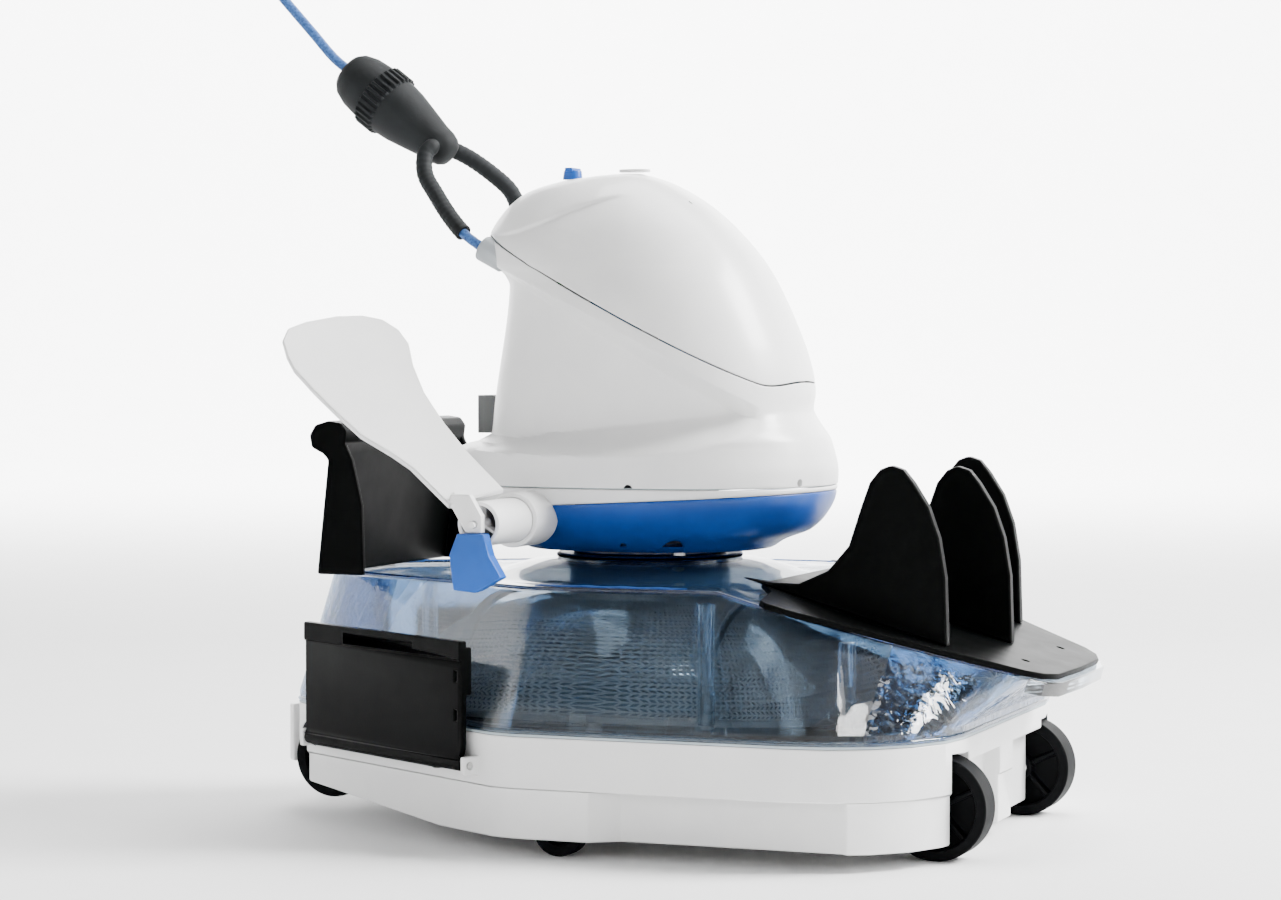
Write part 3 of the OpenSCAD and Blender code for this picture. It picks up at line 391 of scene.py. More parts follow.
loop_stops = [(-73, -34, 279.7), (-77, -34, 282), (-86, -32, 288), (-96, -27, 297), (-106, -21, 308),
              (-114, -16, 318), (-116, -12, 328), (-113.5, -8, 332.6), (-113, 0, 333), (-112, 8, 332.6),
              (-104, 15, 328), (-94, 21, 320), (-86, 27, 311), (-83, 31, 300), (-82, 33, 290),
              (-77, 34, 282), (-73, 34, 279.7)]
lead_stops = [(-160, 0, 370), (-172, 0, 379), (-184, 0, 392), (-196, 0, 405), (-206, 0, 416)]
loop_points = [at(*p) for p in loop_stops]
lead_points = [at(*p) for p in lead_stops]
loop_path, loop_length = smooth_path(loop_points, 0.6 * MM)
lead_path, lead_length = smooth_path(lead_points, 0.6 * MM)
loop_rope = new_piece("loop_rope_braid", skin("loop_rope_braid", tube_rings(loop_path, braid_radius, 24)),
                      rope_blue, "head", 70)
lead_rope = new_piece("lead_rope_braid", skin("lead_rope_braid", tube_rings(lead_path, braid_radius, 24)),
                      rope_blue, "head", 70)
print("loop", round(loop_length, 4), "m, lead", round(lead_length, 4), "m")

# %% [markdown]
# The lead ends in an overhand knot. A trefoil is exactly that knot pulled into a ring, so
# its formula makes a better knot than a ball would.

# %% Overhand knot
knot_centre = lead_points[-1] + Vector((-2, 0, 2.4)) * MM
knot_turns = [2 * math.pi * k / 90 for k in range(90)]
KNOT_R = 1.75 * MM
knot_path = [knot_centre + Vector((math.sin(t) + 2 * math.sin(2 * t),
                                   -math.sin(3 * t) * 1.1,
                                   math.cos(t) - 2 * math.cos(2 * t))) * KNOT_R for t in knot_turns]
knot_rings = tube_rings(knot_path + knot_path[:1], braid_radius, 20)
rope_knot = new_piece("overhand_knot", skin("overhand_knot", knot_rings[:-1], closed=True),
                      rope_blue, "head", 70)
print("knot", [round(v / MM, 1) for v in rope_knot.dimensions], "mm")

# %% [markdown]
# Two dark sleeves slide over the loop's legs and run on into the float's bore. They are foam
# tube, cut square, so their lower ends show a ring of thickness. Rings a little proud every
# few millimetres are the marks that the extruder leaves.

# %% Foam sleeves
def sleeve(name, first, last):
    """A hollow sleeve round the loop, between two of its stops."""
    stops = [curve_point(loop_points, first + (last - first) * k / 24) for k in range(25)]
    path, _ = smooth_path(stops, 0.8 * MM)
    outer = tube_rings(path, lambda d, a: (4.15 + 0.1 * math.sin(d / (0.5 * MM))) * MM, 28)
    inner = tube_rings(path, lambda d, a: 2.75 * MM, 28)
    mesh = skin(name, outer + list(reversed(inner)), closed=True)
    return new_piece(name, mesh, float_foam, "head", 40)


near_sleeve = sleeve("near_rope_sleeve", 2, 8)
far_sleeve = sleeve("far_rope_sleeve", 8.02, 14)
print("sleeves:", near_sleeve.name, far_sleeve.name)

# %% [markdown]
# The float is a torpedo of closed cell foam with a ribbed waist to hold it by. It is drawn
# as a profile turned round its axis. The ribs are part of the turning: between two angles
# the radius steps up by 1.5 mm, with a short ramp, as a moulded rib has.

# %% Float
float_low, float_high = at(-109, 0, 330), at(-165, 0, 373)
float_axis = (float_high - float_low).normalized()
float_stops = [(-3, 0.5), (-2.7, 4), (-1.6, 6.6), (0.5, 8.2), (4, 9.4), (9, 10), (18, 12), (30, 14.6),
               (36, 15.3), (38.4, 15.4), (39.2, 15.5), (48.8, 15.5), (49.6, 15.4), (52, 15.3), (60, 14.4),
               (66, 12.3), (68.6, 10), (69.7, 7), (70, 3.4), (69, 2.9), (60, 2.8)]
RIBS, RIB_RISE = 30, 1.5
RIB_LOW, RIB_HIGH, RIB_RAMP = 38.4, 49.6, 0.8


def rib_lift(height, angle):
    """How far a rib lifts the float's skin at this height and angle."""
    ends = max(0, min(1, (height - RIB_LOW) / RIB_RAMP)) * max(0, min(1, (RIB_HIGH - height) / RIB_RAMP))
    wave = (math.cos(angle * RIBS) + 0.25) / 0.5
    return RIB_RISE * ends * max(0, min(1, wave))


def float_ring(height, radius, sides=360):
    """One ring of the float, with the ribs where the height has them."""
    side = Vector((0, 1, 0))
    across = float_axis.cross(side)
    centre = float_low + float_axis * height * MM
    ring = []
    for k in range(sides):
        angle = 2 * math.pi * k / sides
        reach = (radius + rib_lift(height, angle)) * MM
        ring.append(centre + (side * math.cos(angle) + across * math.sin(angle)) * reach)
    return ring


float_mesh = skin("ribbed_foam_float", [float_ring(*s) for s in float_stops])
float_piece = new_piece("ribbed_foam_float", float_mesh, float_foam, "head", 38)
print("float length", round((float_high - float_low).length / MM), "mm")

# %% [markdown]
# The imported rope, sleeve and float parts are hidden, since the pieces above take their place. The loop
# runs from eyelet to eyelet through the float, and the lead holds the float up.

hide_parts("loop_rope")
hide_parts("lead_rope")
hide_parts("lead_rope")
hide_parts("loop_sleeves")
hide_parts("loop_sleeves")
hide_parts("float_body")

# %% [markdown]
# The studio is a pale round bowl: a floor that bends up into a wall all the way round, so no
# view shows a horizon. The key and the top light stand on the tail side and draw the tops and
# the tail faces bright, and the side that faces the camera falls into a gentle grey. A wide
# weak light under the ceiling evens the floor, and a strong one shines on the wall behind the
# cleaner only. The air itself is kept dim, because black plastic mirrors it.

# %% Studio
FLOOR_R, BEND_R, WALL_TOP = 4.6, 1.0, 4.0


def studio_sweep():
    """A round pale floor that bends up into a wall all round, so every view ends in it."""
    profile = [(0.02, 0.0), (1.2, 0.0), (2.8, 0.0)]
    profile += [(FLOOR_R + BEND_R * math.sin(a), BEND_R - BEND_R * math.cos(a))
                for a in (math.radians(9 * k) for k in range(11))] + [(FLOOR_R + BEND_R, WALL_TOP)]
    turns = [math.radians(3 * k) for k in range(120)]
    rings = [[Vector((r * math.cos(a), r * math.sin(a), h)) for a in turns] for r, h in profile]
    mesh = skin("studio_sweep", rings, caps=False)
    mesh.shade_smooth()
    sweep = bpy.data.objects.new("studio_sweep", mesh)
    bpy.context.scene.collection.objects.link(sweep)
    paper, tree, shader, place = new_material("seamless_paper", {"Roughness": 0.9})
    fibre = add_node(tree, "ShaderNodeTexNoise", {"Scale": per_metre(60)}, {"Vector": place})
    tone = add_node(tree, "ShaderNodeValToRGB", links={"Fac": fibre.outputs["Fac"]})
    tone.color_ramp.elements[0].color = colour("#f6f6f6")
    tone.color_ramp.elements[1].color = colour("#fbfbfb")
    tree.links.new(tone.outputs["Color"], shader.inputs["Base Color"])
    mesh.materials.append(paper)


def soft_light(name, place, power, width, height, aim=(0, 0, 0.15)):
    """A rectangular soft light that faces a point, the middle of the cleaner if none is given."""
    data = bpy.data.lights.new(name, "AREA")
    data.shape = "RECTANGLE"
    data.size, data.size_y, data.energy = width, height, power
    light = bpy.data.objects.new(name, data)
    bpy.context.scene.collection.objects.link(light)
    light.location = place
    light.rotation_euler = (Vector(aim) - Vector(place)).to_track_quat("-Z", "Y").to_euler()


studio_sweep()
soft_light("key_from_tail", (1.6, 0.7, 1.5), 150, 0.9, 0.9)
soft_light("top_light", (0.1, 0.6, 2.2), 52, 1.4, 1.4)
soft_light("ceiling_light", (0, 0, 3.9), 25, 5.0, 5.0)
soft_light("front_fill", (-1.4, -1.9, 1.1), 1, 1.6, 1.2)
soft_light("backdrop_light", (-1.15, 3.0, 2.6), 760, 3.6, 1.2, aim=(-2.0, 5.2, 0.6))
world = bpy.data.worlds.new("studio_air")
bpy.context.scene.world = world
world.use_nodes = True
world.node_tree.nodes["Background"].inputs["Color"].default_value = colour("#f8f8f8")
world.node_tree.nodes["Background"].inputs["Strength"].default_value = 0.05
print("studio lights:", len(bpy.data.lights))

# %% [markdown]
# The head is one smooth egg that four mouldings share: a tray, a band, a housing and a cover.
# If each were modelled apart, their skins would not line up at the gaps, so one set of side
# and front outlines gives the whole egg, and each moulding is a stretch of it between two
# seams. A fine loft of about a millimetre and a half is used instead of a coarse cage, since
# the recess and the shelf need their own crisp changes of slope.

# %% The head's outlines
LEFT = [(134, -58), (138, -66), (143, -76), (151, -86), (159, -92), (165, -95), (180, -97), (184, -92),
        (188, -80), (205, -78), (262, -71), (268, -74), (272, -79), (281, -82), (287, -80), (293, -77),
        (301, -71), (308, -62), (313, -47), (316, -27), (317, -16)]
RIGHT = [(134, 60), (138, 66), (143, 79), (151, 87), (159, 91), (165, 92), (172, 92.5), (180, 91),
         (188, 88), (195, 83), (202, 79.5), (210, 80.5), (216, 80), (228, 77), (240, 72.5), (256, 65.5),
         (272, 57), (288, 44), (300, 31), (308, 19), (313, 9), (316, 0), (317, -4)]
HALF = [(134, 52), (138, 58), (143, 63), (151, 68), (159, 71), (165, 72), (180, 71), (195, 69), (210, 68),
        (225, 67), (240, 65), (256, 61.5), (272, 56), (288, 48.5), (300, 39.5), (308, 31), (313, 23),
        (316, 15), (317, 8)]
SQUARENESS = 0.82                    # 1 is an ellipse, lower is closer to a box
SEAM_Z = 165
HEAD_TOP = 317


def slopes(table):
    """Slopes for a curve through a table that never overshoots it."""
    rises = [(b[1] - a[1]) / (b[0] - a[0]) for a, b in zip(table, table[1:])]
    inner = [0 if a * b <= 0 else 2 * a * b / (a + b) for a, b in zip(rises, rises[1:])]
    return [rises[0]] + inner + [rises[-1]]


OUTLINES = {id(t): slopes(t) for t in (LEFT, RIGHT, HALF)}


def outline(table, z):
    """The table's value at height z, on a smooth curve through its rows."""
    z = max(table[0][0], min(table[-1][0], z))
    k = next(i for i in range(len(table) - 1) if z <= table[i + 1][0])
    (z0, v0), (z1, v1) = table[k], table[k + 1]
    gap = z1 - z0
    s = (z - z0) / gap
    m0, m1 = OUTLINES[id(table)][k] * gap, OUTLINES[id(table)][k + 1] * gap
    return ((2 * s ** 3 - 3 * s ** 2 + 1) * v0 + (s ** 3 - 2 * s ** 2 + s) * m0
            + (3 * s ** 2 - 2 * s ** 3) * v1 + (s ** 3 - s ** 2) * m1)


def head_point(angle, z, inset=0.0, side_inset=0.0):
    """A point of the egg in millimetres; inset shrinks it, side_inset only across."""
    left, right, half = outline(LEFT, z), outline(RIGHT, z), outline(HALF, z)
    c, s = math.cos(angle), math.sin(angle)
    x = (left + right) / 2 + ((right - left) / 2 - inset) * math.copysign(abs(c) ** SQUARENESS, c)
    y = (half - inset - side_inset) * math.copysign(abs(s) ** SQUARENESS, s)
    return x, y, z


def split_height(x):
    """The slanted gap between housing and cover, which curls up at the front."""
    return 250 - 0.505 * x + 5.5 * max(0.0, (x - 70) / 10) ** 2


def split_at(angle, drop=0.0):
    """Height of the gap at this direction, found by walking along the egg."""
    z = 235.0
    for _ in range(12):
        z = 0.5 * z + 0.5 * (split_height(head_point(angle, z)[0]) - drop)
    return z


HEAD_SIDES = 320
ANGLES = [2 * math.pi * k / HEAD_SIDES for k in range(HEAD_SIDES)]
SPLIT = [split_at(a) for a in ANGLES]
print("gap runs from", round(min(SPLIT)), "to", round(max(SPLIT)), "mm high")

# %% [markdown]
# Under the slanted gap the housing's sides are scooped out. A narrow band stays at full
# width, a facet slopes in from it, and the scoop ends on a shelf that slopes out again to the
# skirt. All of that is one number: how far in the skin lies at a given place.

# %% The scoop in the housing's sides
def ramp(value, low, high):
    """0 below low, 1 above high, and an even slope with soft ends between."""
    s = max(0.0, min(1.0, (value - low) / (high - low)))
    return s * s * (3 - 2 * s) * 0.15 + s * 0.85


SCOOP_DEPTH = 18.0
SCOOP_START, SCOOP_END = 55, 78      # x where it starts to run out, and where it has gone


def scoop(x, z):
    """Millimetres that the skin lies inside the egg's side, between four lines of height."""
    band_edge = 243.4 - 0.488 * x - 0.0011 * x * x
    facet_foot = 232.9 - 0.545 * x
    shelf_back = 193.6 + 0.115 * x
    shelf_edge = 180.6 + 0.0004 * x * x + 9.0 * max(0.0, x / 73) ** 3
    under_band = 1 - ramp(z, min(facet_foot, band_edge - 3), band_edge)
    above_shelf = ramp(z, shelf_edge, max(shelf_back, shelf_edge + 4))
    nose_end = 1 - ramp(x, SCOOP_START, SCOOP_END)
    return SCOOP_DEPTH * min(under_band, above_shelf) * nose_end


def housing_ring(share, inset):
    """A ring of the housing: share 0 is the seam, 1 the gap."""
    ring = []
    for angle, top in zip(ANGLES, SPLIT):
        z = SEAM_Z + 0.4 + (top - 0.45 - SEAM_Z - 0.4) * share
        x = head_point(angle, z)[0]
        edge = 0.5 * (1 - min(1.0, (top - z) / 0.8)) ** 2 + 0.5 * (1 - min(1.0, (z - SEAM_Z) / 1.2)) ** 2
        side = min(1.0, abs(math.sin(angle)) * 4)
        ring.append(at(*head_point(angle, z, inset + edge, scoop(x, z) * side)))
    return ring


HEAD_WALL = 2.6
shares = [0, 0.004, 0.01] + [0.02 + 0.97 * k / 78 for k in range(79)] + [0.996, 1]
housing_outer = [housing_ring(s, 0) for s in shares]
housing_inner = [housing_ring(s, HEAD_WALL) for s in reversed(shares[::6])]
housing_mesh = skin("head_housing_shell", housing_outer + housing_inner, closed=True)
housing = new_piece("head_housing_shell", housing_mesh, white_abs, "head", 40)
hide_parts("head_housing")
print("housing faces:", len(housing.data.polygons))

# %% [markdown]
# The cover is the upper part of the egg. Each side of its back carries a raised wing, like a
# swept eyebrow, that starts behind the rope eyelet and runs out to a point near the knob. It
# is part of the same skin: above a soft S curve the surface stands two millimetres proud,
# with a short slope at its lower edge.

# %% The cover and its wings
WING_FOOT, WING_TIP = (-62, 287), (3, 305)           # x and height of the lower edge's two ends
WING_RISE, WING_BACK = 2.3, -90


def wing_lift(x, z):
    """How far the wing lifts the cover's skin, in millimetres."""
    (x0, z0), (x1, z1) = WING_FOOT, WING_TIP
    if x < WING_BACK or x > x1:
        return 0.0
    along = max(0.0, (x - x0) / (x1 - x0))
    low = z0 + (z1 - z0) * along * along * (3 - 2 * along)
    taper = max(0.0, min(1.0, (x1 - x) / 16))
    return WING_RISE * taper * ramp(z, low - 0.7, low + 0.9) * (1 - ramp(z, 309, 315))


def cover_ring(share, inset):
    """A ring of the cover: share 0 is the gap, 1 the crown."""
    ring = []
    for angle, low in zip(ANGLES, SPLIT):
        z = low + 0.45 + (HEAD_TOP - inset - low - 0.45) * share
        x = head_point(angle, z)[0]
        edge = 0.6 * (1 - min(1.0, (z - low) / 1.0)) ** 2
        lift = wing_lift(x, z) * ramp(abs(math.sin(angle)), 0.25, 0.5) if inset == 0 else 0
        ring.append(at(*head_point(angle, z, inset + edge, -lift)))
    return ring


cover_shares = [0, 0.004, 0.01] + [0.02 + 0.9 * k / 90 for k in range(91)] + [0.94, 0.96, 0.975, 0.99, 1]
cover_outer = [cover_ring(s, 0) for s in cover_shares]
cover_inner = [cover_ring(s, HEAD_WALL) for s in reversed(cover_shares[::7])]
cover_mesh = skin("head_cover_shell", list(reversed(cover_outer)) + list(reversed(cover_inner)))
cover = new_piece("head_cover_shell", cover_mesh, white_abs, "head", 40)
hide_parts("head_cover")
print("cover faces:", len(cover.data.polygons))

# %% [markdown]
# Below the seam the white band tapers towards the back and the blue tray fills the rest. The
# tray leans in to the neck with one soft facet line, and both have their edges eased by half
# a millimetre, because no moulded edge is sharp.

# %% Band and tray
def band_height(x):
    """The joint between band and tray, which climbs towards the front."""
    return 158 + 0.05 * x


def lower_ring(share, inset, low, high, ease=0.5):
    """A ring between two heights that may depend on x; share 0 is low, 1 is high."""
    ring = []
    for angle in ANGLES:
        x = head_point(angle, 160)[0]
        bottom, top = low(x), high(x)
        z = bottom + (top - bottom) * share
        edge = ease * ((1 - min(1.0, (z - bottom) / 0.8)) ** 2 + (1 - min(1.0, (top - z) / 0.8)) ** 2)
        ring.append(at(*head_point(angle, z, inset + edge)))
    return ring


def band_part(name, low, high, steps, material, wall=HEAD_WALL):
    """A closed shell of the egg between two heights."""
    heights = [0, 0.03, 0.08] + [0.08 + 0.84 * k / steps for k in range(1, steps)] + [0.92, 0.97, 1]
    outer = [lower_ring(s, 0, low, high) for s in heights]
    inner = [lower_ring(s, wall, low, high, 0) for s in reversed(heights[::4])]
    return new_piece(name, skin(name, outer + inner, closed=True), material, "head", 40)


band = band_part("head_band_ring", lambda x: band_height(x) + 0.15, lambda x: SEAM_Z - 0.25, 5, white_abs)
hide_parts("head_band")
tray = band_part("head_tray_rim", lambda x: 134.0, lambda x: band_height(x) - 0.15, 22, tray_abs)
tray_floor = new_piece("head_tray_floor", skin("head_tray_floor", [
    [at(*head_point(a, 134.05, 0.4)) for a in ANGLES], [at(*head_point(a, 137, 1.2)) for a in ANGLES],
    [at(26 * math.cos(a), 26 * math.sin(a), 137) for a in ANGLES],
    [at(26 * math.cos(a), 26 * math.sin(a), 134.05) for a in ANGLES]], closed=True), tray_abs, "head", 40)
for piece in (tray, tray_floor):
    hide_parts("head_tray")
print("band and tray ready")

# %% [markdown]
# Small openings make a shell read as a real moulding: half-round clip slots sit on the seam,
# two drain notches in the tray, and pin holes where the tool's ejectors stood. They could be
# painted on, but a painted hole has no depth when the light moves. Here a short round cutter
# points from the middle of the egg out through the skin, and its shape is taken away.

# %% Slots and pin holes
def drill(piece, spots, middle_x=-4.0):
    """Take round holes out of a shell; a spot is x, y, z and the hole's radius in millimetres."""
    for x, y, z, radius in [(x, side * y, z, r) for x, y, z, r in spots for side in (-1, 1)]:
        work = bmesh.new()
        bmesh.ops.create_cone(work, cap_ends=True, segments=28, radius1=radius * MM, radius2=radius * MM,
                              depth=24 * MM)
        mesh = bpy.data.meshes.new("cutter")
        work.to_mesh(mesh)
        work.free()
        out = Vector((x - middle_x, y, 0)).normalized()
        mesh.transform(Matrix.Translation(at(x, y, z)) @ out.to_track_quat("Z", "Y").to_matrix().to_4x4())
        cutter = bpy.data.objects.new("cutter", mesh)
        bpy.context.scene.collection.objects.link(cutter)
        cut = piece.modifiers.new("hole", "BOOLEAN")
        cut.operation, cut.object, cut.solver = "DIFFERENCE", cutter, "FAST"
        bpy.context.view_layer.update()
        seen = piece.evaluated_get(bpy.context.evaluated_depsgraph_get())
        bored = bpy.data.meshes.new_from_object(seen)
        piece.modifiers.remove(cut)
        piece.data = bored
        bpy.data.objects.remove(cutter)
    return piece


before = len(housing.data.polygons)
drill(housing, [(16, 71.5, 165, 2.2), (87.5, 30, 167.5, 1.9)])
drill(tray, [(34, 56, 135, 5.5), (8, 57, 137, 1.8)])
drill(cover, [(26, 14, 302, 0.9), (-49, 34, 295, 0.9)])
print("faces added by the holes in the housing:", len(housing.data.polygons) - before)

# %% [markdown]
# The lid is a clear hood. Its foot follows the hull's plan, its top edge a smaller plan, and
# the tail end of its roof slopes down under the black plate. Both plans have the same number
# of corners, so each point of the foot has its partner on the top edge and the wall between
# them stays flat where the real one is flat. Rounding the plans a little with a running
# average gives the corners their moulded radius.

# %% Plans of hull and lid
def arc(cx, cy, radius, first, last, steps):
    """Points on an arc, in millimetres and degrees."""
    return [(cx + radius * math.cos(math.radians(first + (last - first) * i / steps)),
             cy + radius * math.sin(math.radians(first + (last - first) * i / steps)))
            for i in range(steps + 1)]


HULL_HALF = ([(181, 0), (181, 28), (181, 52)] + arc(116, 76, 65, 0, 90, 5)
             + [(90, 141), (40, 141), (-14, 141), (-26, 138), (-95, 95.6), (-160, 55), (-170, 46),
                (-172, 34), (-172, 0)])
LID_HALF = [(206, 0), (206, 28), (206, 50), (203, 60), (192, 68), (174, 77), (154, 87), (134, 95),
            (118, 101), (95, 110), (40, 114), (-14, 114), (-22, 112), (-86, 78), (-147, 44), (-157, 36),
            (-160, 26), (-160, 0)]
STEPS_PER_SIDE = 14


def full_plan(half):
    """Both halves of a plan, finely divided and slightly rounded."""
    corners = half + [(x, -y) for x, y in half[-2:0:-1]]
    points = []
    for i, (x0, y0) in enumerate(corners):
        x1, y1 = corners[(i + 1) % len(corners)]
        points += [(x0 + (x1 - x0) * k / STEPS_PER_SIDE, y0 + (y1 - y0) * k / STEPS_PER_SIDE)
                   for k in range(STEPS_PER_SIDE)]
    for _ in range(6):
        points = [tuple((points[i - 1][a] + 2 * points[i][a] + points[(i + 1) % len(points)][a]) / 4
                        for a in (0, 1)) for i in range(len(points))]
    return points


HULL_PLAN, LID_PLAN = full_plan(HULL_HALF), full_plan(LID_HALF)
SEAM = 55
LID_TOP = 121
LID_CROWN = 8
PLATE_SLOPE = math.tan(math.radians(16.5))


def drawn_in(plan, depth):
    """A plan moved in from its edge."""
    return [(4.5 + (x - 4.5) * (1 - depth / 176), y * (1 - depth / 141)) for x, y in plan]


def roof(x, drop=0.0):
    """Height of the lid's roof at x."""
    return min(LID_TOP, 118 - (x - 95) * PLATE_SLOPE - 3.2) - drop


def on_roof(plan, drop):
    return [(x, y, roof(x, drop)) for x, y in plan]


def between(low, high, share):
    """A ring part of the way from one ring to another."""
    return [tuple(a + (b - a) * share for a, b in zip(p, q)) for p, q in zip(low, high)]


def to_circle(plan, radius):
    return [(radius * math.cos(math.atan2(y, x)), radius * math.sin(math.atan2(y, x))) for x, y in plan]


print("plan points:", len(HULL_PLAN), len(LID_PLAN))

# %% [markdown]
# The hood is skinned from its foot over the roof to the swivel's hole and back along the
# inside, 2.4 mm in. The real thickness matters here: light bends on the way in and again on
# the way out, and that is what makes the edges dark and the corners bright.

# %% The clear lid
LID_WALL = 2.4


def level(plan, z):
    """A plan as a ring at one height."""
    return [(x, y, z) for x, y in plan]


foot_out, knee_out = level(HULL_PLAN, SEAM + 1.05), level(HULL_PLAN, SEAM + 6)
edge_out = on_roof(drawn_in(LID_PLAN, 1.2), 2.2)
edge_mid = on_roof(drawn_in(LID_PLAN, 1.8), 0.9)
edge_top = on_roof(drawn_in(LID_PLAN, 3.4), 0)
foot_in = level(drawn_in(HULL_PLAN, LID_WALL), SEAM + 1.05)
knee_in = level(drawn_in(HULL_PLAN, LID_WALL + 0.5), SEAM + 5.6)
edge_in = on_roof(drawn_in(LID_PLAN, 5.6), LID_WALL)
wide = between(LID_PLAN, to_circle(LID_PLAN, 60), 0.35)
CROWN_STEPS = ((78, 0), (70, 0.4), (60, 0.75), (52, 0.9), (44.5, 1), (42.2, 1))   # radius, share
crown = [(wide, 0)] + [(to_circle(LID_PLAN, radius), rise) for radius, rise in CROWN_STEPS]
lid_rings = [foot_out, between(foot_out, knee_out, 0.5), knee_out]
lid_rings += [between(knee_out, edge_out, k / 6) for k in range(1, 6)] + [edge_out, edge_mid, edge_top]
lid_rings += [on_roof(r, -LID_CROWN * rise) for r, rise in crown]
lid_rings += [on_roof(r, LID_WALL - LID_CROWN * rise) for r, rise in reversed(crown)]
lid_rings += [edge_in] + [between(edge_in, knee_in, k / 4) for k in range(1, 4)] + [knee_in, foot_in]
lid = new_piece("clear_lid_hood", skin("clear_lid_hood", [[at(*p) for p in ring] for ring in lid_rings],
                                       closed=True), lid_clear, "lid", 28)
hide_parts("lid_shell")
# The two ends get a darker copy of the lid's tint: painted shade.
lid.data.materials.append(end_painted_shade_clear)
# The roof gets a darker copy of the lid's tint: painted shade.
lid.data.materials.append(roof_painted_shade_clear)
# Upward faces take the roof's painted shade, and faces past the two ends take the ends' painted shade.
TAIL_END, NOSE_END = 150, -112
for face in lid.data.polygons:
    x, z = (face.center.x - SWIVEL_X) / MM, face.center.z / MM
    if abs(face.normal.z) > 0.8:
        face.material_index = 2
    elif not NOSE_END < x < TAIL_END and z < LID_TOP - 4:
        face.material_index = 1


def bead(name, ring, radius_mm, material, body, sides=10):
    """A round bead that follows a closed ring."""
    path = [at(*p) for p in ring]
    rings = []
    for i, point in enumerate(path):
        along = (path[(i + 1) % len(path)] - path[i - 1]).normalized()
        out = along.cross(Vector((0, 0, 1))).normalized()
        up = out.cross(along)
        rings.append([point + (out * math.cos(a) + up * math.sin(a)) * radius_mm * MM
                      for a in (2 * math.pi * k / sides for k in range(sides))])
    piece = new_piece(name, skin(name, rings, closed=True), material, body, 60)
    return piece


# The edge bead's deep blue is painted shade.
bead("lid_edge_bead", on_roof(drawn_in(LID_PLAN, 2.6), 0.5), 0.9, edge_painted_shade_clear, "lid")
bead("lid_foot_bead", level(drawn_in(HULL_PLAN, 0.2), SEAM + 2.2), 1.1, post_clear, "lid")
print("lid rings:", len(lid_rings))

# %% [markdown]
# The long side of the roof carries a printed mark. A plain wave of two strokes stands here:
# it says water and nothing else. Pad printing leaves a film of ink a few hundredths of a
# millimetre thick; it is drawn as a quarter of a millimetre, so that it never flickers
# through the plastic under it.

# %% Printed wave
wave_ink = moulded("blue_pad_print_ink", "#1450a4", "#114795", 0.35, 2.0, 0.01)
WAVE_START, WAVE_LENGTH, WAVE_Y, WAVE_PITCH = -18, 74, -101, 18.5
INK = 0.25


def printed_wave(name, offset, width):
    """A flat wavy stroke of ink on the roof, in millimetres."""
    rings = []
    for k in range(97):
        x = WAVE_START + WAVE_LENGTH * k / 96
        y = WAVE_Y + offset + 1.5 * math.sin(2 * math.pi * (x - WAVE_START) / WAVE_PITCH)
        half = width / 2 * min(1, k / 8 + 0.15, (96 - k) / 8 + 0.15)
        low = roof(x) + 0.03
        rings.append([at(x, y - half, low), at(x, y + half, low), at(x, y + half, low + INK),
                      at(x, y - half, low + INK)])
    piece = new_piece(name, skin(name, rings), wave_ink, "lid", 40)
    return piece


strokes = [printed_wave("wave_stroke_wide", 1.6, 2.6), printed_wave("wave_stroke_thin", -2.4, 1.4)]
print("strokes:", [s.name for s in strokes])

# %% [markdown]
# The filter is a vault of perforated sheet. Every hole is a real opening: the vault starts as
# a grid with cells of about 3 mm, each row shifted by half a cell. Each cell is shrunk inside
# its own border, the shrunken face is removed, and the lattice that is left gets its
# thickness back.

# %% Perforated filter
BASKET_L, BASKET_W, BASKET_H = 236, 184, 52
BASKET_X, BASKET_Z = 5, 60


def vault_ring(tilt, count, stagger):
    """One ring of the vault; tilt 0 is its foot, and stagger shifts it by part of a cell."""
    shrink = math.cos(math.radians(tilt)) ** 0.6
    a, b = BASKET_L / 2 * shrink, BASKET_W / 2 * shrink
    ring = []
    for k in range(count):
        angle = 2 * math.pi * (k + stagger) / count
        c, s = math.cos(angle), math.sin(angle)
        ring.append((BASKET_X + a * math.copysign(abs(c) ** (2 / 3.2), c),
                     b * math.copysign(abs(s) ** (2 / 3.2), s),
                     BASKET_Z + BASKET_H * math.sin(math.radians(tilt))))
    return ring


around = 252
vault_rings = [vault_ring(t * 74 / 30, around, (t % 2) / 2) for t in range(31)]
hole_ring = [(44 * math.cos(2 * math.pi * k / around), 44 * math.sin(2 * math.pi * k / around),
              BASKET_Z + BASKET_H) for k in range(around)]
last_vault = vault_rings[-1]
vault_rings += [between(last_vault, hole_ring, k / 8) for k in range(1, 9)]
filter_mesh = skin("perforated_filter", [[at(*p) for p in ring] for ring in vault_rings], caps=False)
work = bmesh.new()
work.from_mesh(filter_mesh)
cells = [f for f in work.faces if f.calc_area() > (1.5 * MM) ** 2]
bmesh.ops.inset_individual(work, faces=cells, thickness=0.62 * MM)
bmesh.ops.delete(work, geom=cells, context="FACES")
work.to_mesh(filter_mesh)
work.free()
perforated = new_piece("perforated_filter", filter_mesh, filter_pp, "filter", 40)
sheet_thickness = perforated.modifiers.new("sheet", "SOLIDIFY")
sheet_thickness.thickness = 1.2 * MM
sheet_thickness.offset = -1
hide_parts("filter_mesh")
print("holes in the filter:", len(cells))

# %% [markdown]
# The remaining parts have the right shape already, but a machine model has knife edges, and
# no moulding does. A copy of each gets its edges rounded by a bevel of a few tenths of a
# millimetre, which catches a thin line of light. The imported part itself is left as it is.

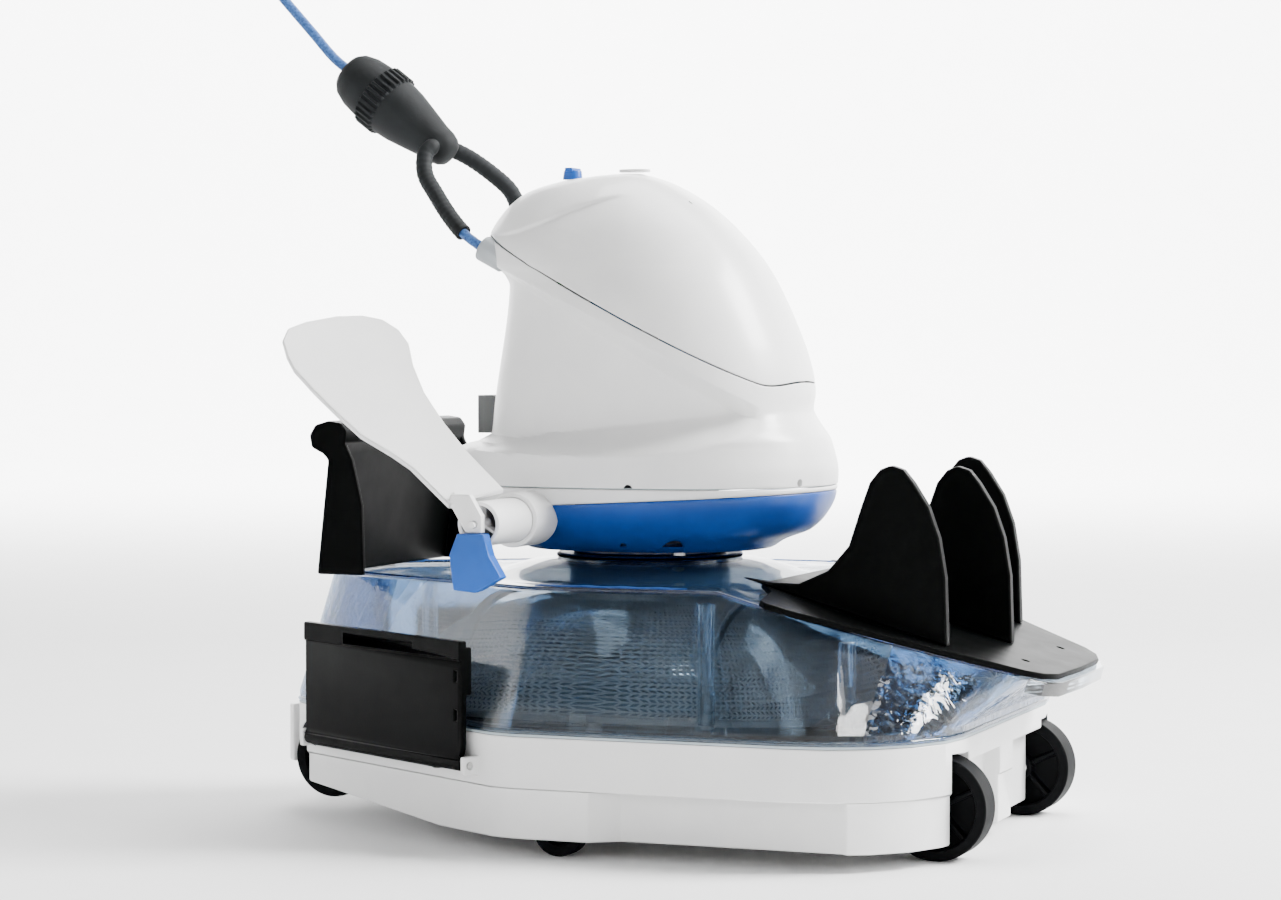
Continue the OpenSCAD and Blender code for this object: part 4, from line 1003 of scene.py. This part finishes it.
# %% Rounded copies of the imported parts
record = frame["record"]
slot_of = {part["node"]: part["material_slot"] for part in record["subparts"]}
body_of = {node: body for body, members in record["behaviour"]["bodies"].items() for node in members}
FINISH = {"white_abs": white_abs, "clear_polycarbonate": post_clear, "black_abs": black_abs,
          "navy_plastic": navy_abs, "blue_abs": tray_abs, "bright_blue_abs": bright_abs,
          "grey_frame": grey_abs, "filter_fabric": filter_pp, "seal_rubber": seal_tpe,
          "wheel_plastic": wheel_abs, "steel": turned_steel, "ballast_iron": cast_iron,
          "cell_wrap": shrink_sleeve, "board_green": solder_mask, "bearing_acetal": acetal,
          "impeller_orange": nylon, "motor_can": plated_can, "rope_blue": rope_blue,
          "foam_dark": float_foam}
OWN_FINISH = {"socket_cap": cap_pp}
ROUNDING = {"lower_hull": 0.9, "nose_bumper": 1.5, "suction_plate": 0.8, "latch_near": 0.8,
            "latch_far": 0.8, "tail_plate": 0.7, "fin_near": 1.2, "fin_middle": 1.2, "fin_far": 1.2,
            "carry_handle": 1.2, "swivel_collar": 1.2, "neck_spigot": 0.8, "filter_frame": 0.4,
            "nozzle_pipe": 0.6, "nozzle_collar": 0.8, "nozzle_spider": 0.25, "paddle": 0.9,
            "paddle_foot": 0.6, "tail_wheel_near": 0.8, "tail_wheel_far": 0.8,
            "mid_roller_near": 0.6, "mid_roller_far": 0.6, "nose_wheel_near": 0.7,
            "nose_wheel_far": 0.7, "socket_cap": 0.5, "rope_eyelets": 0.9, "switch_knob": 0.4,
            "start_button": 0.3, "lid_posts": 0.4, "tail_visor": 0.6, "inlet_flap": 0.5,
            "tail_axles": 0.4, "hull_screws": 0.2, "lid_screws": 0.2}


def rounded_copy(node, width_mm):
    """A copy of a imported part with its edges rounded, which stands for it."""
    mesh = nodes[node].data.copy()
    mesh.materials.clear()
    work = bmesh.new()
    work.from_mesh(mesh)
    bmesh.ops.remove_doubles(work, verts=work.verts, dist=0.02 * MM)
    bmesh.ops.dissolve_limit(work, angle_limit=math.radians(1.5), verts=work.verts, edges=work.edges)
    work.to_mesh(mesh)
    work.free()
    piece = new_piece(node + "_moulding", mesh, OWN_FINISH.get(node, FINISH[slot_of[node]]),
                      body_of[node], 30)
    bevel = piece.modifiers.new("eased edges", "BEVEL")
    bevel.width = width_mm * MM
    bevel.segments = 2
    bevel.limit_method = "ANGLE"
    bevel.angle_limit = math.radians(32)
    bevel.use_clamp_overlap = False
    bevel.harden_normals = True
    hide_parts(node)
    return piece


mouldings = {node: rounded_copy(node, width) for node, width in ROUNDING.items()}
for node, packed in nodes.items():
    packed.data.materials.clear()
    packed.data.materials.append(OWN_FINISH.get(node, FINISH[slot_of[node]]))
print("rounded:", len(mouldings), "of", len(nodes))

# %% [markdown]
# The inside of the hull and its bottom plate is a closed room that looks dark, and that shade is painted:
# a second, deep grey finish goes on the faces that look into the room, and the outside stays as it is.
# A face gets the painted shade if it lies inside the wall and faces the room's middle.

# %% Painted shade inside the hull
painted_shade_grey = moulded("painted_shade_hull_inside", "#2c343b", "#252c32", 0.45, 1.4, 0.03, shine=0.35)
room_middle = at(0, 0, 90)
inner_plan = drawn_in(HULL_PLAN, 2.2)
step_plan = drawn_in(HULL_PLAN, 12)


def inside(plan, x, y):
    """Whether a point lies inside a plan."""
    crossings = 0
    for (x0, y0), (x1, y1) in zip(plan, plan[1:] + plan[:1]):
        if (y0 > y) != (y1 > y) and x < x0 + (y - y0) / (y1 - y0) * (x1 - x0):
            crossings += 1
    return crossings % 2 == 1


# The deep grey put on these inner faces is painted shade.
for hull_piece in (mouldings["lower_hull"], mouldings["suction_plate"]):
    hull_piece.data.materials.append(painted_shade_grey)
    painted_shade_faces = 0
    for face in hull_piece.data.polygons:
        x, y = (face.center.x - SWIVEL_X) / MM, face.center.y / MM
        plan = step_plan if face.normal.z > 0.9 else inner_plan
        if face.normal.dot(room_middle - face.center) > 0 and inside(plan, x, y):
            face.material_index = 1
            painted_shade_faces += 1
    print("faces with painted shade:", painted_shade_faces)
